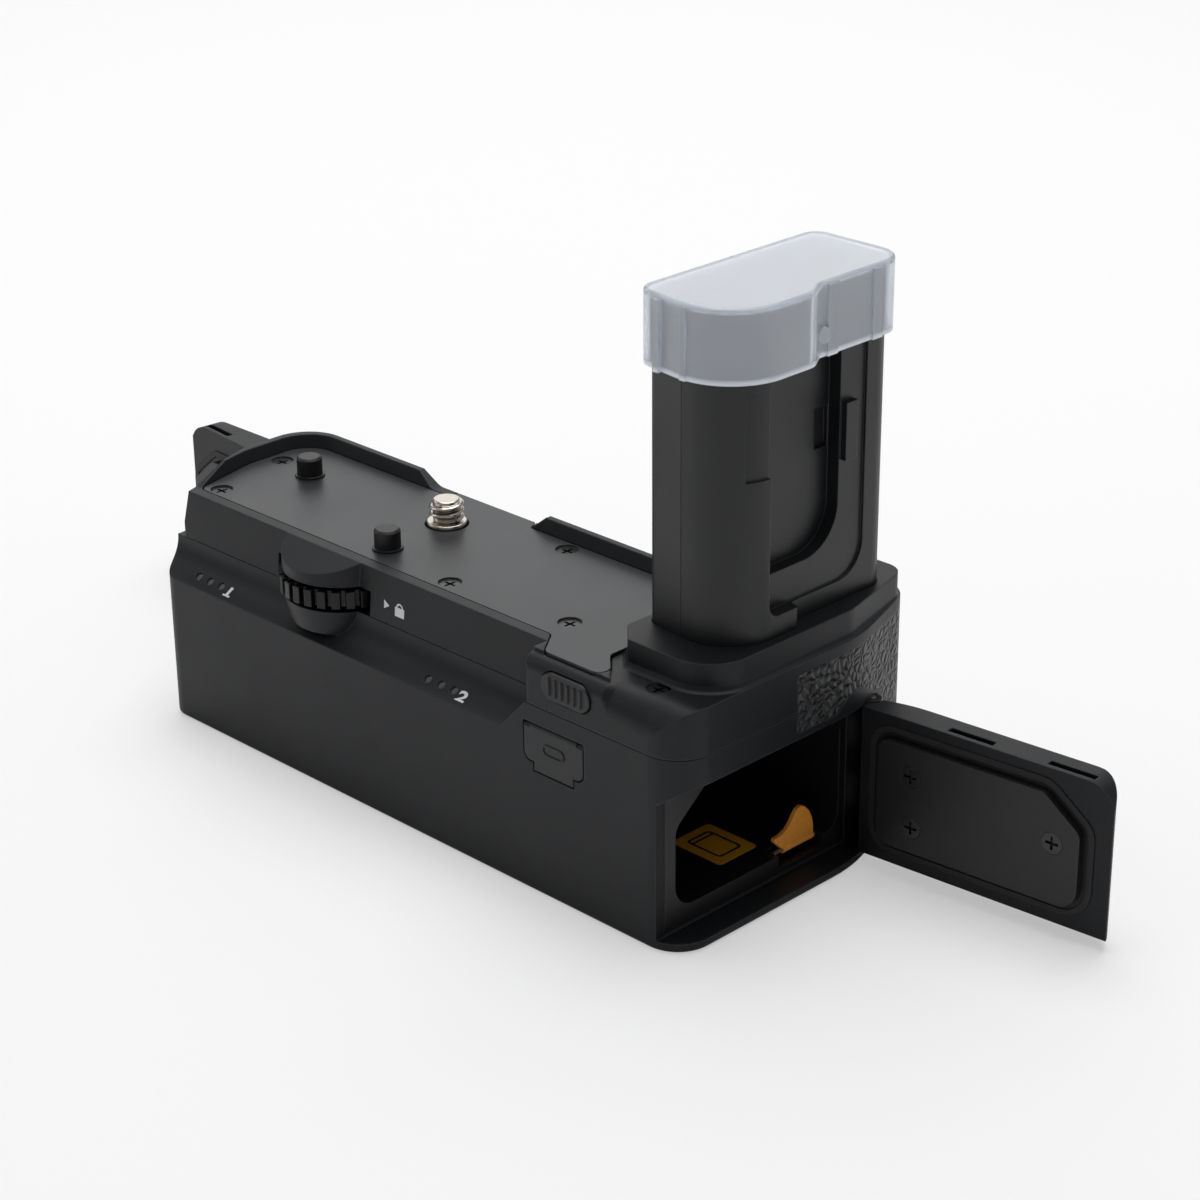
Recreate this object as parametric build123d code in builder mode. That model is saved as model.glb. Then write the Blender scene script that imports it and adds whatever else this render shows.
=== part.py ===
from build123d import *
import math
import os

# A vertical battery grip for a mirrorless camera, in millimetres.
# X runs along the grip, +Y points away from the photographer, Z is up.
# The origin is where the camera screw's axis meets the plane the grip stands on.

# Outer size of the grip, measured from the camera screw's axis
right_reach = 85.0
left_reach = 49.2
left_lean = 5.8
near_reach = 28.3
lower_back = 27.4
cove_depth = 4.7
neck_back = 11.3
neck_left_near_inset = 0.9
neck_left_reach = 2.6
neck_turn = -5.0
grip_back = 36.5
grip_left_inset = 33.0
grip_step = 5.0
grip_turn = 15.0
grip_slope = 6.6

# Heights above the base
ledge_drop = 6.5
seam_rise = 7.3
shoulder_drop = 9.3
roof_rise = 6.3
trough_rise = 8.7
plate_rise = 9.3
rim_rise = 2.4
seat_rise = 4.4
tower_rise = 54.6

# Walls, gaps and the overrun of every cut
wall = 2.2
skin_wall = 1.6
seam_gap = 0.15
running_gap = 0.3
seat_gap = 0.1
pin_gap = 0.05
over = 1.0

# Corner radii of the outer plan
near_left_corner = 4.0
near_right_corner = 7.0
turn_corner = 30.0
grip_corner = 9.0
grip_left_corner = 10.0
step_corner = 5.0
back_left_corner = 4.0
neck_left_corner = 1.8
neck_turn_corner = 20.0
rim_corner = 8.0
base_edge = 1.0

# Right block of the upper casing and the lean of its walls
block_start_inset = 35.4
ledge_end_inset = 41.5
block_corner = 1.0
block_round = 5.5
block_round_begin = 2.4
block_round_middle = 4.6
block_hook = 1.4
block_round_length = 9.0
block_round_start_inset = 17.4
wall_lean = 0.8
end_lean = 1.8

# Camera battery and the chambers it slides into
contact_depth = 3.05
chamber_near_inset = 4.9
chamber_far = 17.2
chamber_low = 5.6
chamber_high = 26.6
chamber_slant_y = 7.4
chamber_slant_z = 5.9
chamber_near_round = 4.5
chamber_far_round = 3.0
chamber_slant_round = 3.0
liner_wall = 1.4
flange = 1.5
flange_reach = 1.6
flange_rise = 0.3

# Openings for the doors at the two ends
right_mouth_depth = 5.5
left_mouth_depth = 4.6
recess_low = 1.8
right_recess_drop = 5.0
right_recess_far = 23.1
right_recess_round = 5.8
left_recess_drop = 3.0
left_recess_far_inset = 1.2
left_recess_round = 6.3
left_recess_turn = 13.2
left_recess_slope = 7.4

# Battery doors and their hinges
right_axis_inset = 1.8
right_axis_far_inset = 2.0
left_axis_reach = 4.0
left_axis_far_inset = 1.9
open_angle = 95.5
knuckle_radius = 1.6
knuckle_pin_radius = 0.6
knuckle_count = 5
hinge_lap = 0.4
left_door_notch = 3.0
door_pocket_inset = 2.6
door_skin = 2.0
door_post_radius = 2.4
inner_plate_thickness = 1.3
inner_plate_margin = 0.6
gasket_gap = 0.4
gasket_width = 1.1
gasket_sink = 0.8
gasket_proud = 0.2
door_screw_places = [(9.9, 20.4), (9.5, 10.9), (-17.7, 17.3)]
door_screw_length = 3.0
right_claw_ends = [2.3, -16.9]
left_claw_ends = [4.3, -14.9]
claw_slot_length = 8.6
claw_drop = 1.0
latch_bar_low_drop = 6.1
latch_bar_high_drop = 3.1
latch_bar_inset = 1.0
latch_bar_depth = 1.2
latch_stem_length = 3.0
latch_stem_y = -9.0
latch_stem_height = 2.0
knob_length = 7.0
knob_height = 3.6
knob_thickness = 0.9
latch_travel = 2.0

# Battery catch that folds out of each mouth
catch_pivot_drop = 0.7
catch_pivot_inset = 2.1
catch_barrel_radius = 0.65
catch_pin_radius = 0.4
catch_thickness = 0.9
catch_low_y = 2.6
catch_high_y = 12.8
catch_leaf = [(2.6, 7.4), (3.4, 8.5), (8.9, 11.8), (10.2, 11.6), (12.8, 8.0)]
catch_rounds = [0, 0.8, 0.8, 0.5, 0.5, 0.8, 0]
catch_foot_y = 5.0
catch_window_gap = 0.5
catch_pin_lap = 1.5

# Tower that goes into the camera, in plan
tower_left_inset = 22.4
tower_right_inset = 2.8
tower_near = -13.5
tower_far = 27.6
tower_slant = 1.3
tower_parting_inset = 13.9
tower_step_y = 2.6
tower_step_x = 2.2
tower_near_corner = 9.5
tower_far_corner = 4.0
tower_left_corner = 2.0
tower_front_corner = 6.0
tower_step_corner = 0.7
tower_foot_drop = 3.0
tower_wall = 1.5
parting_gap = 0.1

# Recesses in the tower's right side
recess_left = -4.5
recess_right = 21.0
recess_bottom_rise = 3.6
recess_floor_inset = 5.5
pocket_right = 15.0
pocket_bottom_rise = 9.8
pocket_floor_inset = 8.0
recess_round = 6.0
recess_small_round = 2.4
pocket_round = 8.0
tongue_left = -9.0
tongue_bottom_drop = 26.6
tongue_top_drop = 11.6
tongue_depth = 0.5
slot_low_y = 11.6
slot_high_y = 14.8
slot_low_drop = 27.6
slot_high_drop = 20.6
slot_depth = 0.8
bump_left = 15.3
bump_right = 18.1
bump_bottom_drop = 29.6
bump_top_drop = 19.6
bump_proud = 1.2

# Contacts at the tower's top and its cap
contact_block_rise = 1.3
contact_block_depth = 5.0
tower_slot_count = 5
tower_slot_pitch = 5.5
tower_slot_length = 8.0
tower_slot_width = 1.4
tower_slot_depth = 4.0
tower_slot_inset = 14.5
tower_slot_y = -4.0
blade_thickness = 0.4
cap_bottom_drop = 9.8
cap_rise = 2.7
cap_wall = 1.0
cap_fit = 0.35
cap_round = 0.6
cap_step_near = 3.4
cap_step_far = 7.0
cap_step_corner = 2.5
cap_rib_width = 1.2
cap_rib_proud = 0.4
cap_left_ribs = [-7.5, 8.0, 21.0]
cap_near_ribs = [3.9, 9.6]
cap_right_ribs = [9.0, 20.0]

# Seat of the tower
seat_left_inset = 23.6
seat_front_inset = 8.4
seat_right_inset = 0.9
seat_turn = 14.0
seat_far_right_inset = 5.6
seat_far_inset = 3.5
seat_corner = 8.0
seat_small_corner = 1.0
seat_bevel = 4.0
seat_core = 3.0
flare_reaches = [0.9, 0.4, 0.0]
flare_heights = [0.0, 0.3, 1.0]

# Top plate
plate_thickness = 1.5
plate_near_inset = 3.2
plate_left_near_inset = 3.4
plate_left_turn = -6.0
plate_back_inset = 2.4
plate_right_inset = 24.1
plate_tab_left_inset = 36.7
plate_tab_lean = 3.9
plate_tab_right_inset = 17.6
plate_tab_near_inset = 2.4
plate_tab_end = 6.5
plate_middle_left = -10.2
plate_middle_right = 12.6
plate_jog = 1.2
plate_groove = 0.25
plate_small_corner = 0.5
plate_corner = 1.8
plate_turn_corner = 12.0
plate_far_corner = 6.0
shelf_width = 1.5

# Raised rims round the neck's back and left
rim_rise_start = -20.5
rim_rise_end = -12.0
rim_fall_start = -18.6
rim_fall_end = -14.2
rim_right_start = 12.6
rim_right_end = 15.4
rim_right_thickness = 1.5
rim_bend = 4.0
rim_small_bend = 1.0
rim_lean = 22.0

# Screws
plate_screws_from_left = [(6.4, -17.9), (3.1, -0.6)]
plate_screws_from_middle = [(20.1, -17.6), (24.4, 6.6)]
plate_screw_from_right = (38.0, -15.0)
trough_screw_from_right = (10.6, -22.0)
base_screw_left_inset = 7.6
base_screw_right_inset = 8.5
base_screw_split_reach = 6.5
base_screw_near_inset = 4.4
base_screw_far_inset = 4.2
bearing_screw_side_inset = 2.9
bearing_screw_near_inset = 7.6
bearing_screw_far_inset = 2.8
board_screw_left_inset = 3.2
board_screw_right_inset = 3.3
board_screw_near_inset = 8.1
board_screw_far_inset = 3.4
screw_head_radius = 1.95
screw_head_depth = 1.1
screw_shank_radius = 0.95
screw_post_radius = 2.4
plate_screw_length = 5.0
trough_screw_length = 4.0
base_screw_length = 3.9
bearing_screw_length = 4.5
board_screw_length = 2.5
cross_width = 0.5
cross_reach = 1.2
cross_depth = 0.6
screw_sink = 0.35
screw_ring = 0.15

# Locating pins
locating_pin_places = [(-36.3, -1.9), (1.0, -15.1)]
locating_pin_radius = 2.4
locating_pin_rise = 3.9
locating_pin_bevel = 0.4
locating_collar_radius = 2.8
locating_collar_rise = 0.35
locating_foot_radius = 3.4
locating_foot_rise = 0.7

# Camera screw and its drive
thread_radius = 3.175
thread_rise = 4.9
thread_bevel = 0.5
screw_flange_radius = 3.7
screw_flange_sink = 0.7
screw_flange_rise = 0.7
screw_hole_radius = 4.05
journal_radius = 2.4
journal_drop = 4.1
gear_module = 0.82
wheel_teeth = 28
screw_teeth = 20
tooth_rise_share = 0.6
tooth_root_share = 0.85
wheel_tooth_shares = (0.34, 0.28)
gear_tooth_shares = (0.17, 0.08)
wheel_side = 7.6
wheel_rise = 1.0
wheel_thickness = 3.1
wheel_hub_radius = 3.2
wheel_hub_rise = 0.8
wheel_axle_radius = 1.5
wheel_axle_rise = 5.9
gear_hub_radius = 4.2
hood_radius = 11.2
hood_drop = 2.9
slot_left = -20.0
slot_right = 5.4
slot_rise = 4.8
boss_drop = 4.9
boss_low_radius = 10.0
bearing_plate_drop = 1.8
bearing_plate_thickness = 2.0
bearing_plate_left = -24.0
bearing_plate_right = 12.6
bearing_plate_near = -20.6
bearing_plate_far = 8.2
bearing_plate_corner = 2.0
bush_radius = 3.4
bush_rise = 1.2
bush_drop = 0.6

# Battery check button on the right block
button_inset = 25.5
button_rise = 5.0
button_length = 11.2
button_height = 4.8
button_depth = 2.6
button_proud = 0.3
button_lug = 0.8
button_lug_depth = 0.8
button_gap = 0.25
button_ribs = 6
button_rib_pitch = 1.45
button_rib_width = 0.45
button_rib_height = 3.2
button_rib_proud = 0.3
button_pocket = 5.0

# Charging socket and its cover
port_inset = 28.7
port_drop = 6.9
port_length = 14.4
port_height = 7.4
port_round = 1.8
port_top_round = 0.5
port_depth = 1.5
port_gap = 0.3
port_lip_length = 9.2
port_lip_height = 1.3
port_lip_depth = 0.8
port_pivot_drop = 0.95
port_pivot_radius = 0.5
port_pivot_length = 1.0
socket_length = 9.0
socket_height = 3.0
socket_depth = 6.0
socket_wall = 0.4
socket_tongue = 0.7
socket_tongue_margin = 1.2

# Light dots on the cove
light_left_inset = 8.6
light_right_inset = 20.3
light_pitch = 3.3
light_count = 3
light_radius = 0.8
light_near_inset = 2.2
light_length = 5.6
light_dish = 0.25

# Rubber grip panel, its edge drawn in depth and height on the right end
panel_thickness = 1.0
panel_left_inset = 29.0
panel_near = -0.3
panel_low = 3.0
panel_rise = 6.8
panel_over_door = 1.3
panel_over_hinge = 3.7
panel_hinge_columns = (10.2, 12.8, 17.2, 21.0, 25.0)
panel_rounds = [0.6, 0.6, 0, 0, 1.5, 1.5, 1.0, 1.0, 1.0, 1.0]

# Circuit board above the right chamber
board_left_inset = 3.35
board_right_inset = 11.7
board_near = -20.6
board_far = 8.4
board_rise = 1.6
board_thickness = 1.2
board_tab_near_inset = 2.5
board_tab_margin = 0.6
board_part_boxes = [(10.2, -6.0, 8.0, 6.0, 1.6), (23.2, -2.0, 6.0, 9.0, 1.2), (35.2, 2.5, 8.0, 3.0, 2.6)]
board_part_boxes += [(16.7, 4.5, 3.0, 2.0, 1.0), (35.2, -10.0, 7.0, 7.0, 1.0)]

# Contacts inside the chambers
contact_gap = 0.1
blade_count = 4
blade_pitch = 4.0
blade_height = 5.0
blade_low = 10.0
blade_reach = 3.0
blade_y = -6.0

# Tripod socket and labels
tripod_y = -3.0
tripod_barrel_radius = 5.0
tripod_flange_radius = 7.0
tripod_top = 4.0
label_length = 11.5
label_width = 9.5
label_thickness = 0.1
label_inset = 5.0
label_y = -2.5
label_corner = 0.8

# Places that follow from the sizes above
block_start = right_reach - block_start_inset
ledge_end = right_reach - ledge_end_inset
block_round_start = right_reach - block_round_start_inset
recess_floor = right_reach - recess_floor_inset
pocket_floor = right_reach - pocket_floor_inset
tower_left = right_reach - tower_left_inset
tower_right = right_reach - tower_right_inset
tower_parting = right_reach - tower_parting_inset
tower_slot_x = right_reach - tower_slot_inset
seat_left = right_reach - seat_left_inset
seat_right = right_reach - seat_right_inset
seat_far_right = right_reach - seat_far_right_inset
plate_right = right_reach - plate_right_inset
plate_tab_left = right_reach - plate_tab_left_inset
plate_tab_right = right_reach - plate_tab_right_inset
button_x = right_reach - button_inset
port_x = right_reach - port_inset
panel_left = right_reach - panel_left_inset
grip_left = right_reach - grip_left_inset
neck_left_near = neck_left_near_inset - left_reach
neck_left = -left_reach - neck_left_reach
plate_left_near = plate_left_near_inset - left_reach
plate_left_far = neck_left + neck_left_reach
light_x_left = light_left_inset - left_reach
light_x_right = ledge_end - light_right_inset
chamber_near = chamber_near_inset - near_reach
light_y = light_near_inset - near_reach
board_tab_near = board_tab_near_inset - near_reach
plate_tab_near = plate_tab_near_inset - near_reach
seat_front = seat_front_inset - near_reach
left_recess_far = lower_back - left_recess_far_inset
left_axis_y = left_recess_far - left_axis_far_inset
right_axis_y = right_recess_far - right_axis_far_inset
seat_far = grip_back - seat_far_inset
plate_back = neck_back - plate_back_inset
flange_far = chamber_far + flange_reach
latch_bar_low = chamber_high - latch_bar_low_drop
latch_bar_high = chamber_high - latch_bar_high_drop
catch_pivot_height = chamber_low - catch_pivot_drop
neck_near = near_reach - cove_depth
gear_distance = gear_module * (wheel_teeth + screw_teeth) / 2
wheel_x = -wheel_side
wheel_y = -math.sqrt(gear_distance ** 2 - wheel_side ** 2)
wheel_bearing = math.degrees(math.atan2(-wheel_y, wheel_side))
right_mouth = right_reach - right_mouth_depth
left_mouth = left_mouth_depth - left_reach
chamber_split = (right_mouth + left_mouth) / 2
right_battery_end = chamber_split + contact_depth
left_battery_end = chamber_split - contact_depth
liner_low = chamber_low - liner_wall
liner_top = chamber_high + liner_wall
board_low = liner_top + board_rise
board_left = chamber_split + board_left_inset
board_right = right_mouth - board_right_inset
grip_top_x = right_reach - grip_slope
neck_end = grip_left - grip_step
board_top = board_low + board_thickness
far_left = -left_reach - left_lean - over
right_axis = (right_reach - right_axis_inset, right_axis_y)
left_axis = (-left_reach - left_axis_reach, left_axis_y)
latch_z = (latch_bar_low + latch_bar_high) / 2
tripod_place = (chamber_split, tripod_y)
plate_screw_places = [(x - left_reach, y) for x, y in plate_screws_from_left] + plate_screws_from_middle
plate_screw_places.append((right_reach - plate_screw_from_right[0], plate_screw_from_right[1]))
trough_screw_place = (right_reach - trough_screw_from_right[0], trough_screw_from_right[1])
base_screw_columns = [left_mouth + base_screw_left_inset, chamber_split - base_screw_split_reach]
base_screw_columns += [chamber_split + base_screw_split_reach, right_mouth - base_screw_right_inset]
base_screw_rows = (chamber_near + base_screw_near_inset, chamber_far - base_screw_far_inset)
base_screw_places = [(x, y) for x in base_screw_columns for y in base_screw_rows]
bearing_screw_columns = (bearing_plate_left + bearing_screw_side_inset, bearing_plate_right - bearing_screw_side_inset)
bearing_screw_rows = (bearing_plate_near + bearing_screw_near_inset, bearing_plate_far - bearing_screw_far_inset)
bearing_screw_places = [(x, y) for x in bearing_screw_columns for y in bearing_screw_rows]
board_screw_columns = (board_left + board_screw_left_inset, board_right - board_screw_right_inset)
board_screw_rows = (board_near + board_screw_near_inset, board_far - board_screw_far_inset)
board_screw_places = [(x, y) for x in board_screw_columns for y in board_screw_rows]
plate_near = plate_near_inset - neck_near
flange_top = liner_top + flange_rise
seam_height = liner_top + seam_rise
seam_top = seam_height + seam_gap
ledge_height = seam_height - ledge_drop
shoulder_height = seam_height - shoulder_drop
roof_height = seam_height + roof_rise
trough_height = seam_height + trough_rise
plate_height = seam_height + plate_rise
rim_height = plate_height + rim_rise
seat_height = plate_height + seat_rise
tower_height = seat_height + tower_rise
tower_foot = seat_height - tower_foot_drop
recess_bottom = seat_height + recess_bottom_rise
pocket_bottom = seat_height + pocket_bottom_rise
tongue_bottom = tower_height - tongue_bottom_drop
tongue_top = tower_height - tongue_top_drop
slot_low_z = tower_height - slot_low_drop
slot_high_z = tower_height - slot_high_drop
bump_bottom = tower_height - bump_bottom_drop
bump_top = tower_height - bump_top_drop
cap_bottom = tower_height - cap_bottom_drop
cap_top = tower_height + cap_rise
thread_top = plate_height + thread_rise
screw_flange_low = plate_height - screw_flange_sink
screw_flange_high = plate_height + screw_flange_rise
wheel_low = seam_height + wheel_rise
wheel_axle_top = seam_height + wheel_axle_rise
slot_top = seam_height + slot_rise
boss_low = seam_height - boss_drop
bearing_plate_top = seam_height - bearing_plate_drop
journal_foot = seam_height - journal_drop
button_z = seam_height + button_rise
port_z = seam_height - port_drop
right_recess_top = seam_height - right_recess_drop
left_recess_top = seam_height - left_recess_drop
wheel_top = wheel_low + wheel_thickness
plate_low = plate_height - plate_thickness
bearing_plate_low = bearing_plate_top - bearing_plate_thickness
cove_radius = (cove_depth ** 2 + (seam_height - ledge_height) ** 2) / (2 * cove_depth)
light_z = seam_height - math.sqrt(cove_radius ** 2 - (light_y + neck_near + cove_radius) ** 2)
left_hinge_top = left_recess_top - left_recess_slope
block_top_z = tower_height + contact_block_rise

os.makedirs("parts", exist_ok=True)


# Helpers that every section below draws with


def left_edge(y):
    """The lower body's left end leans outwards towards the back."""
    return -left_reach - left_lean * (y + near_reach) / (lower_back + near_reach)


def prism(base, corners, radii, height, inset=0, taper=0):
    """A straight piece on an outline whose corners are rounded."""
    with BuildPart() as body:
        with BuildSketch(base):
            with BuildLine():
                FilletPolyline(*corners, radius=radii, close=True)
            make_face()
            if inset:
                offset(amount=-inset)
        extrude(amount=height, taper=taper)
    return body.part


def along_x(x_low, x_high, corners, radii=None, inset=0):
    """A straight piece along X on an outline given in Y and Z."""
    rounds = radii or [0] * len(corners)
    return prism(Plane.YZ.offset(x_low), corners, rounds, x_high - x_low, inset)


def along_y(y_low, y_high, corners, radii=None):
    """A straight piece along Y on an outline given in X and Z."""
    rounds = radii or [0] * len(corners)
    return prism(Plane.XZ.offset(-y_high), corners, rounds, y_high - y_low)


def along_z(z_low, z_high, corners, radii=None, inset=0, taper=0):
    """A straight piece along Z on an outline given in X and Y."""
    rounds = radii or [0] * len(corners)
    return prism(Plane.XY.offset(z_low), corners, rounds, z_high - z_low, inset, taper)


def box(x_ends, y_ends, z_ends):
    """A plain box between three pairs of coordinates."""
    x_low, x_high = sorted(x_ends)
    y_low, y_high = sorted(y_ends)
    z_low, z_high = sorted(z_ends)
    with BuildPart() as body:
        with BuildSketch(Plane.XY.offset(z_low)):
            with Locations(((x_low + x_high) / 2, (y_low + y_high) / 2)):
                Rectangle(x_high - x_low, y_high - y_low)
        extrude(amount=z_high - z_low)
    return body.part


def post(place, radius, low, high):
    """A round post or hole that stands on Z."""
    with BuildPart() as body:
        with BuildSketch(Plane.XY.offset(low)):
            with Locations(place):
                Circle(radius)
        extrude(amount=high - low)
    return body.part


def rod(base, radius, length):
    """A round rod or hole along the normal of its base."""
    with BuildPart() as body:
        with BuildSketch(base):
            Circle(radius)
        extrude(amount=length)
    return body.part


def downward(place, top):
    """The plane a screw enters from above."""
    return Plane(origin=(place[0], place[1], top), z_dir=(0, 0, -1))


def upward(place, low):
    """The plane a screw enters from below."""
    return Plane(origin=(place[0], place[1], low), z_dir=(0, 0, 1))


def screw(surface, length, sink=0):
    """A countersunk screw with a cross in its head, level with the surface or a little below it."""
    base = surface.offset(sink)
    with BuildPart() as body:
        with BuildSketch(base):
            Circle(screw_head_radius)
        with BuildSketch(base.offset(screw_head_depth)):
            Circle(screw_shank_radius)
        loft()
        with BuildSketch(base.offset(screw_head_depth)):
            Circle(screw_shank_radius)
        extrude(amount=length - screw_head_depth - sink)
        with BuildSketch(base):
            Rectangle(2 * cross_reach, cross_width)
            Rectangle(cross_width, 2 * cross_reach)
        extrude(amount=cross_depth, mode=Mode.SUBTRACT)
    return body.part


def screw_hole(surface, depth, sink=0):
    """The countersunk hole such a screw fills, a little larger."""
    base = surface.offset(sink)
    with BuildPart() as body:
        if sink:
            with BuildSketch(surface):
                Circle(screw_head_radius + screw_ring)
            extrude(amount=sink)
        with BuildSketch(base):
            Circle(screw_head_radius + pin_gap)
        with BuildSketch(base.offset(screw_head_depth + pin_gap)):
            Circle(screw_shank_radius + pin_gap)
        loft()
        with BuildSketch(base):
            Circle(screw_shank_radius + pin_gap)
        extrude(amount=depth - sink)
    return body.part


def write(part, name):
    """Names a finished piece and writes it."""
    part.label = name
    export_step(part, f"parts/{name}.step")


def screw_set(name, surfaces, length, sink=0):
    """One part that holds every screw of a set."""
    with BuildPart() as screws:
        for surface in surfaces:
            add(screw(surface, length, sink))
    write(screws.part, name)


def lower_plan(low, high, inset=0):
    """Plan of the lower body with the bulge for the hand at the back right."""
    corners = [
        (left_edge(-near_reach), -near_reach),
        (right_reach, -near_reach),
        (right_reach, grip_turn),
        (grip_top_x, grip_back),
        (grip_left, grip_back),
        (neck_end, lower_back),
        (left_edge(lower_back), lower_back),
    ]
    radii = [near_left_corner, near_right_corner, turn_corner, grip_corner]
    radii += [grip_left_corner, step_corner, back_left_corner]
    return along_z(low, high, corners, radii, inset)


def upper_plan(low, high, inset=0):
    """Plan of the upper body: set back along the wheel's side, full at the right block."""
    corners = [
        (neck_left_near, -neck_near),
        (block_start, -neck_near),
        (block_start, -near_reach),
        (right_reach, -near_reach),
        (right_reach, grip_turn),
        (grip_top_x, grip_back),
        (grip_left, grip_back),
        (neck_end, neck_back),
        (neck_left, neck_back),
        (neck_left, neck_turn),
    ]
    radii = [neck_left_corner, block_corner, block_corner, near_right_corner, turn_corner]
    radii += [grip_corner, grip_left_corner, step_corner, rim_corner, neck_turn_corner]
    return along_z(low, high, corners, radii, inset)


def chamber(x_ends, grow=0):
    """The battery's section, a rectangle with one corner cut off, along X."""
    corners = [
        (chamber_near, chamber_low),
        (chamber_far, chamber_low),
        (chamber_far, chamber_high),
        (chamber_near + chamber_slant_y, chamber_high),
        (chamber_near, chamber_high - chamber_slant_z),
    ]
    radii = [chamber_near_round, chamber_far_round, chamber_far_round]
    radii += [chamber_slant_round, chamber_slant_round]
    return along_x(min(x_ends), max(x_ends), corners, radii, -grow)


def tower_plan(low, high, grow=0):
    """The tower's plan: a slanted left front and a stepped right side."""
    corners = [
        (tower_left, tower_near + tower_slant),
        (tower_parting, tower_near),
        (tower_right, tower_near),
        (tower_right, tower_step_y),
        (tower_right - tower_step_x, tower_step_y + tower_step_corner),
        (tower_right - tower_step_x, tower_far),
        (tower_left, tower_far),
    ]
    radii = [tower_left_corner, tower_front_corner / 2, tower_near_corner, tower_step_corner, tower_step_corner]
    radii += [tower_far_corner, tower_left_corner]
    return along_z(low, high, corners, radii, -grow)


def cap_plan(low, high, grow):
    """The cap's plan follows the tower's with an easier step on the right."""
    corners = [
        (tower_left, tower_near + tower_slant),
        (tower_parting, tower_near),
        (tower_right, tower_near),
        (tower_right, cap_step_near),
        (tower_right - tower_step_x, cap_step_far),
        (tower_right - tower_step_x, tower_far),
        (tower_left, tower_far),
    ]
    radii = [tower_left_corner, tower_front_corner, tower_near_corner, cap_step_corner, cap_step_corner]
    radii += [tower_far_corner, tower_left_corner]
    return along_z(low, high, corners, radii, -grow)


def right_door_space(x_low, x_high, inset=0):
    """Outline of the right door's recess on the end of the body."""
    near = -near_reach - running_gap
    corners = [
        (near, recess_low),
        (right_recess_far, recess_low),
        (right_recess_far, right_recess_top),
        (near, right_recess_top),
    ]
    return along_x(x_low, x_high, corners, [0, 0, 0, right_recess_round], inset)


def left_door_space(x_low, x_high, inset=0):
    """Outline of the left door's recess, cut back under the cove and the shoulder."""
    near = wall - near_reach
    corners = [
        (near, recess_low),
        (left_recess_far, recess_low),
        (left_recess_far, left_hinge_top),
        (left_recess_turn, left_recess_top),
        (near, left_recess_top),
    ]
    return along_x(x_low, x_high, corners, [0, 0, 0, 0, left_recess_round], inset)


def knuckle_spans(high, first):
    """Heights of every second barrel of a hinge."""
    pitch = (high - recess_low) / knuckle_count
    return [(recess_low + pitch * i, recess_low + pitch * (i + 1)) for i in range(first, knuckle_count, 2)]


def light_places():
    """Where the light dots sit along the cove, the left three first."""
    return [x + light_pitch * i for x in (light_x_left, light_x_right) for i in range(light_count)]


def light_base(x):
    """The plane of one light dot, square to the cove."""
    return Plane(origin=(x, light_y, light_z), z_dir=(0, light_y + neck_near + cove_radius, light_z - seam_height))


def catch_pivot(mouth, way):
    """Where the battery catch of one mouth turns, in X."""
    return mouth - way * catch_pivot_inset


def catch_pin_base(mouth, way):
    """The near end of the pin one catch turns on."""
    return Plane(origin=(catch_pivot(mouth, way), catch_low_y - catch_pin_lap, catch_pivot_height), z_dir=(0, 1, 0))


catch_pin_length = catch_high_y - catch_low_y + 2 * catch_pin_lap


# Lower casing: a tub with a ledge and cove on the near side and a recess at each end


def near_cove():
    """What the cove removes above the ledge, ending in a slope before the right block."""
    edge = (-near_reach, ledge_height)
    top = (-neck_near, seam_height)
    outer_y = -near_reach - over
    above = seam_height + over
    with BuildPart() as body:
        with BuildSketch(Plane.YZ.offset(far_left)):
            with BuildLine():
                TangentArc(top, edge, tangent=(0, -1))
                Polyline(edge, (outer_y, ledge_height), (outer_y, above), (-neck_near, above), top)
            make_face()
        extrude(amount=block_start + over - far_left)
    slope = along_y(
        -near_reach - 2 * over,
        2 * over - neck_near,
        [
            (ledge_end, ledge_height),
            (block_start, seam_height),
            (block_start, seam_height + 2 * over),
            (block_start + 2 * over, seam_height + 2 * over),
            (block_start + 2 * over, ledge_height - over),
            (ledge_end, ledge_height - over),
        ],
    )
    return body.part - slope


def boss_below_wheel():
    """A half cone that carries the wheel's lower edge."""
    with BuildPart() as body:
        with BuildSketch(Plane.XY.offset(boss_low)):
            with Locations((wheel_x, wheel_y)):
                Circle(boss_low_radius)
        with BuildSketch(Plane.XY.offset(seam_height)):
            with Locations((wheel_x, wheel_y)):
                Circle(hood_radius)
        loft()
    return body.part & box((slot_left, slot_right), (-near_reach - wall, wall - neck_near), (0, seam_height))


def hinge_barrels(axis, high, web_x, far):
    """The casing's knuckles, each with a web to the wall behind."""
    barrels = []
    for foot, head in knuckle_spans(high, 0):
        barrels.append(post(axis, knuckle_radius, foot, head - running_gap / 2))
        barrels.append(box(web_x, (axis[1], far + seat_gap), (foot, head - running_gap / 2)))
    return barrels


def port_pivots(radius, gap):
    """The two trunnions of the port cover, or the holes they turn in."""
    reach = port_length / 2 + port_pivot_length + gap
    base = Plane(origin=(port_x - reach, port_pivot_y, port_pivot_z), z_dir=(1, 0, 0))
    return rod(base, radius, 2 * reach)


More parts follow.
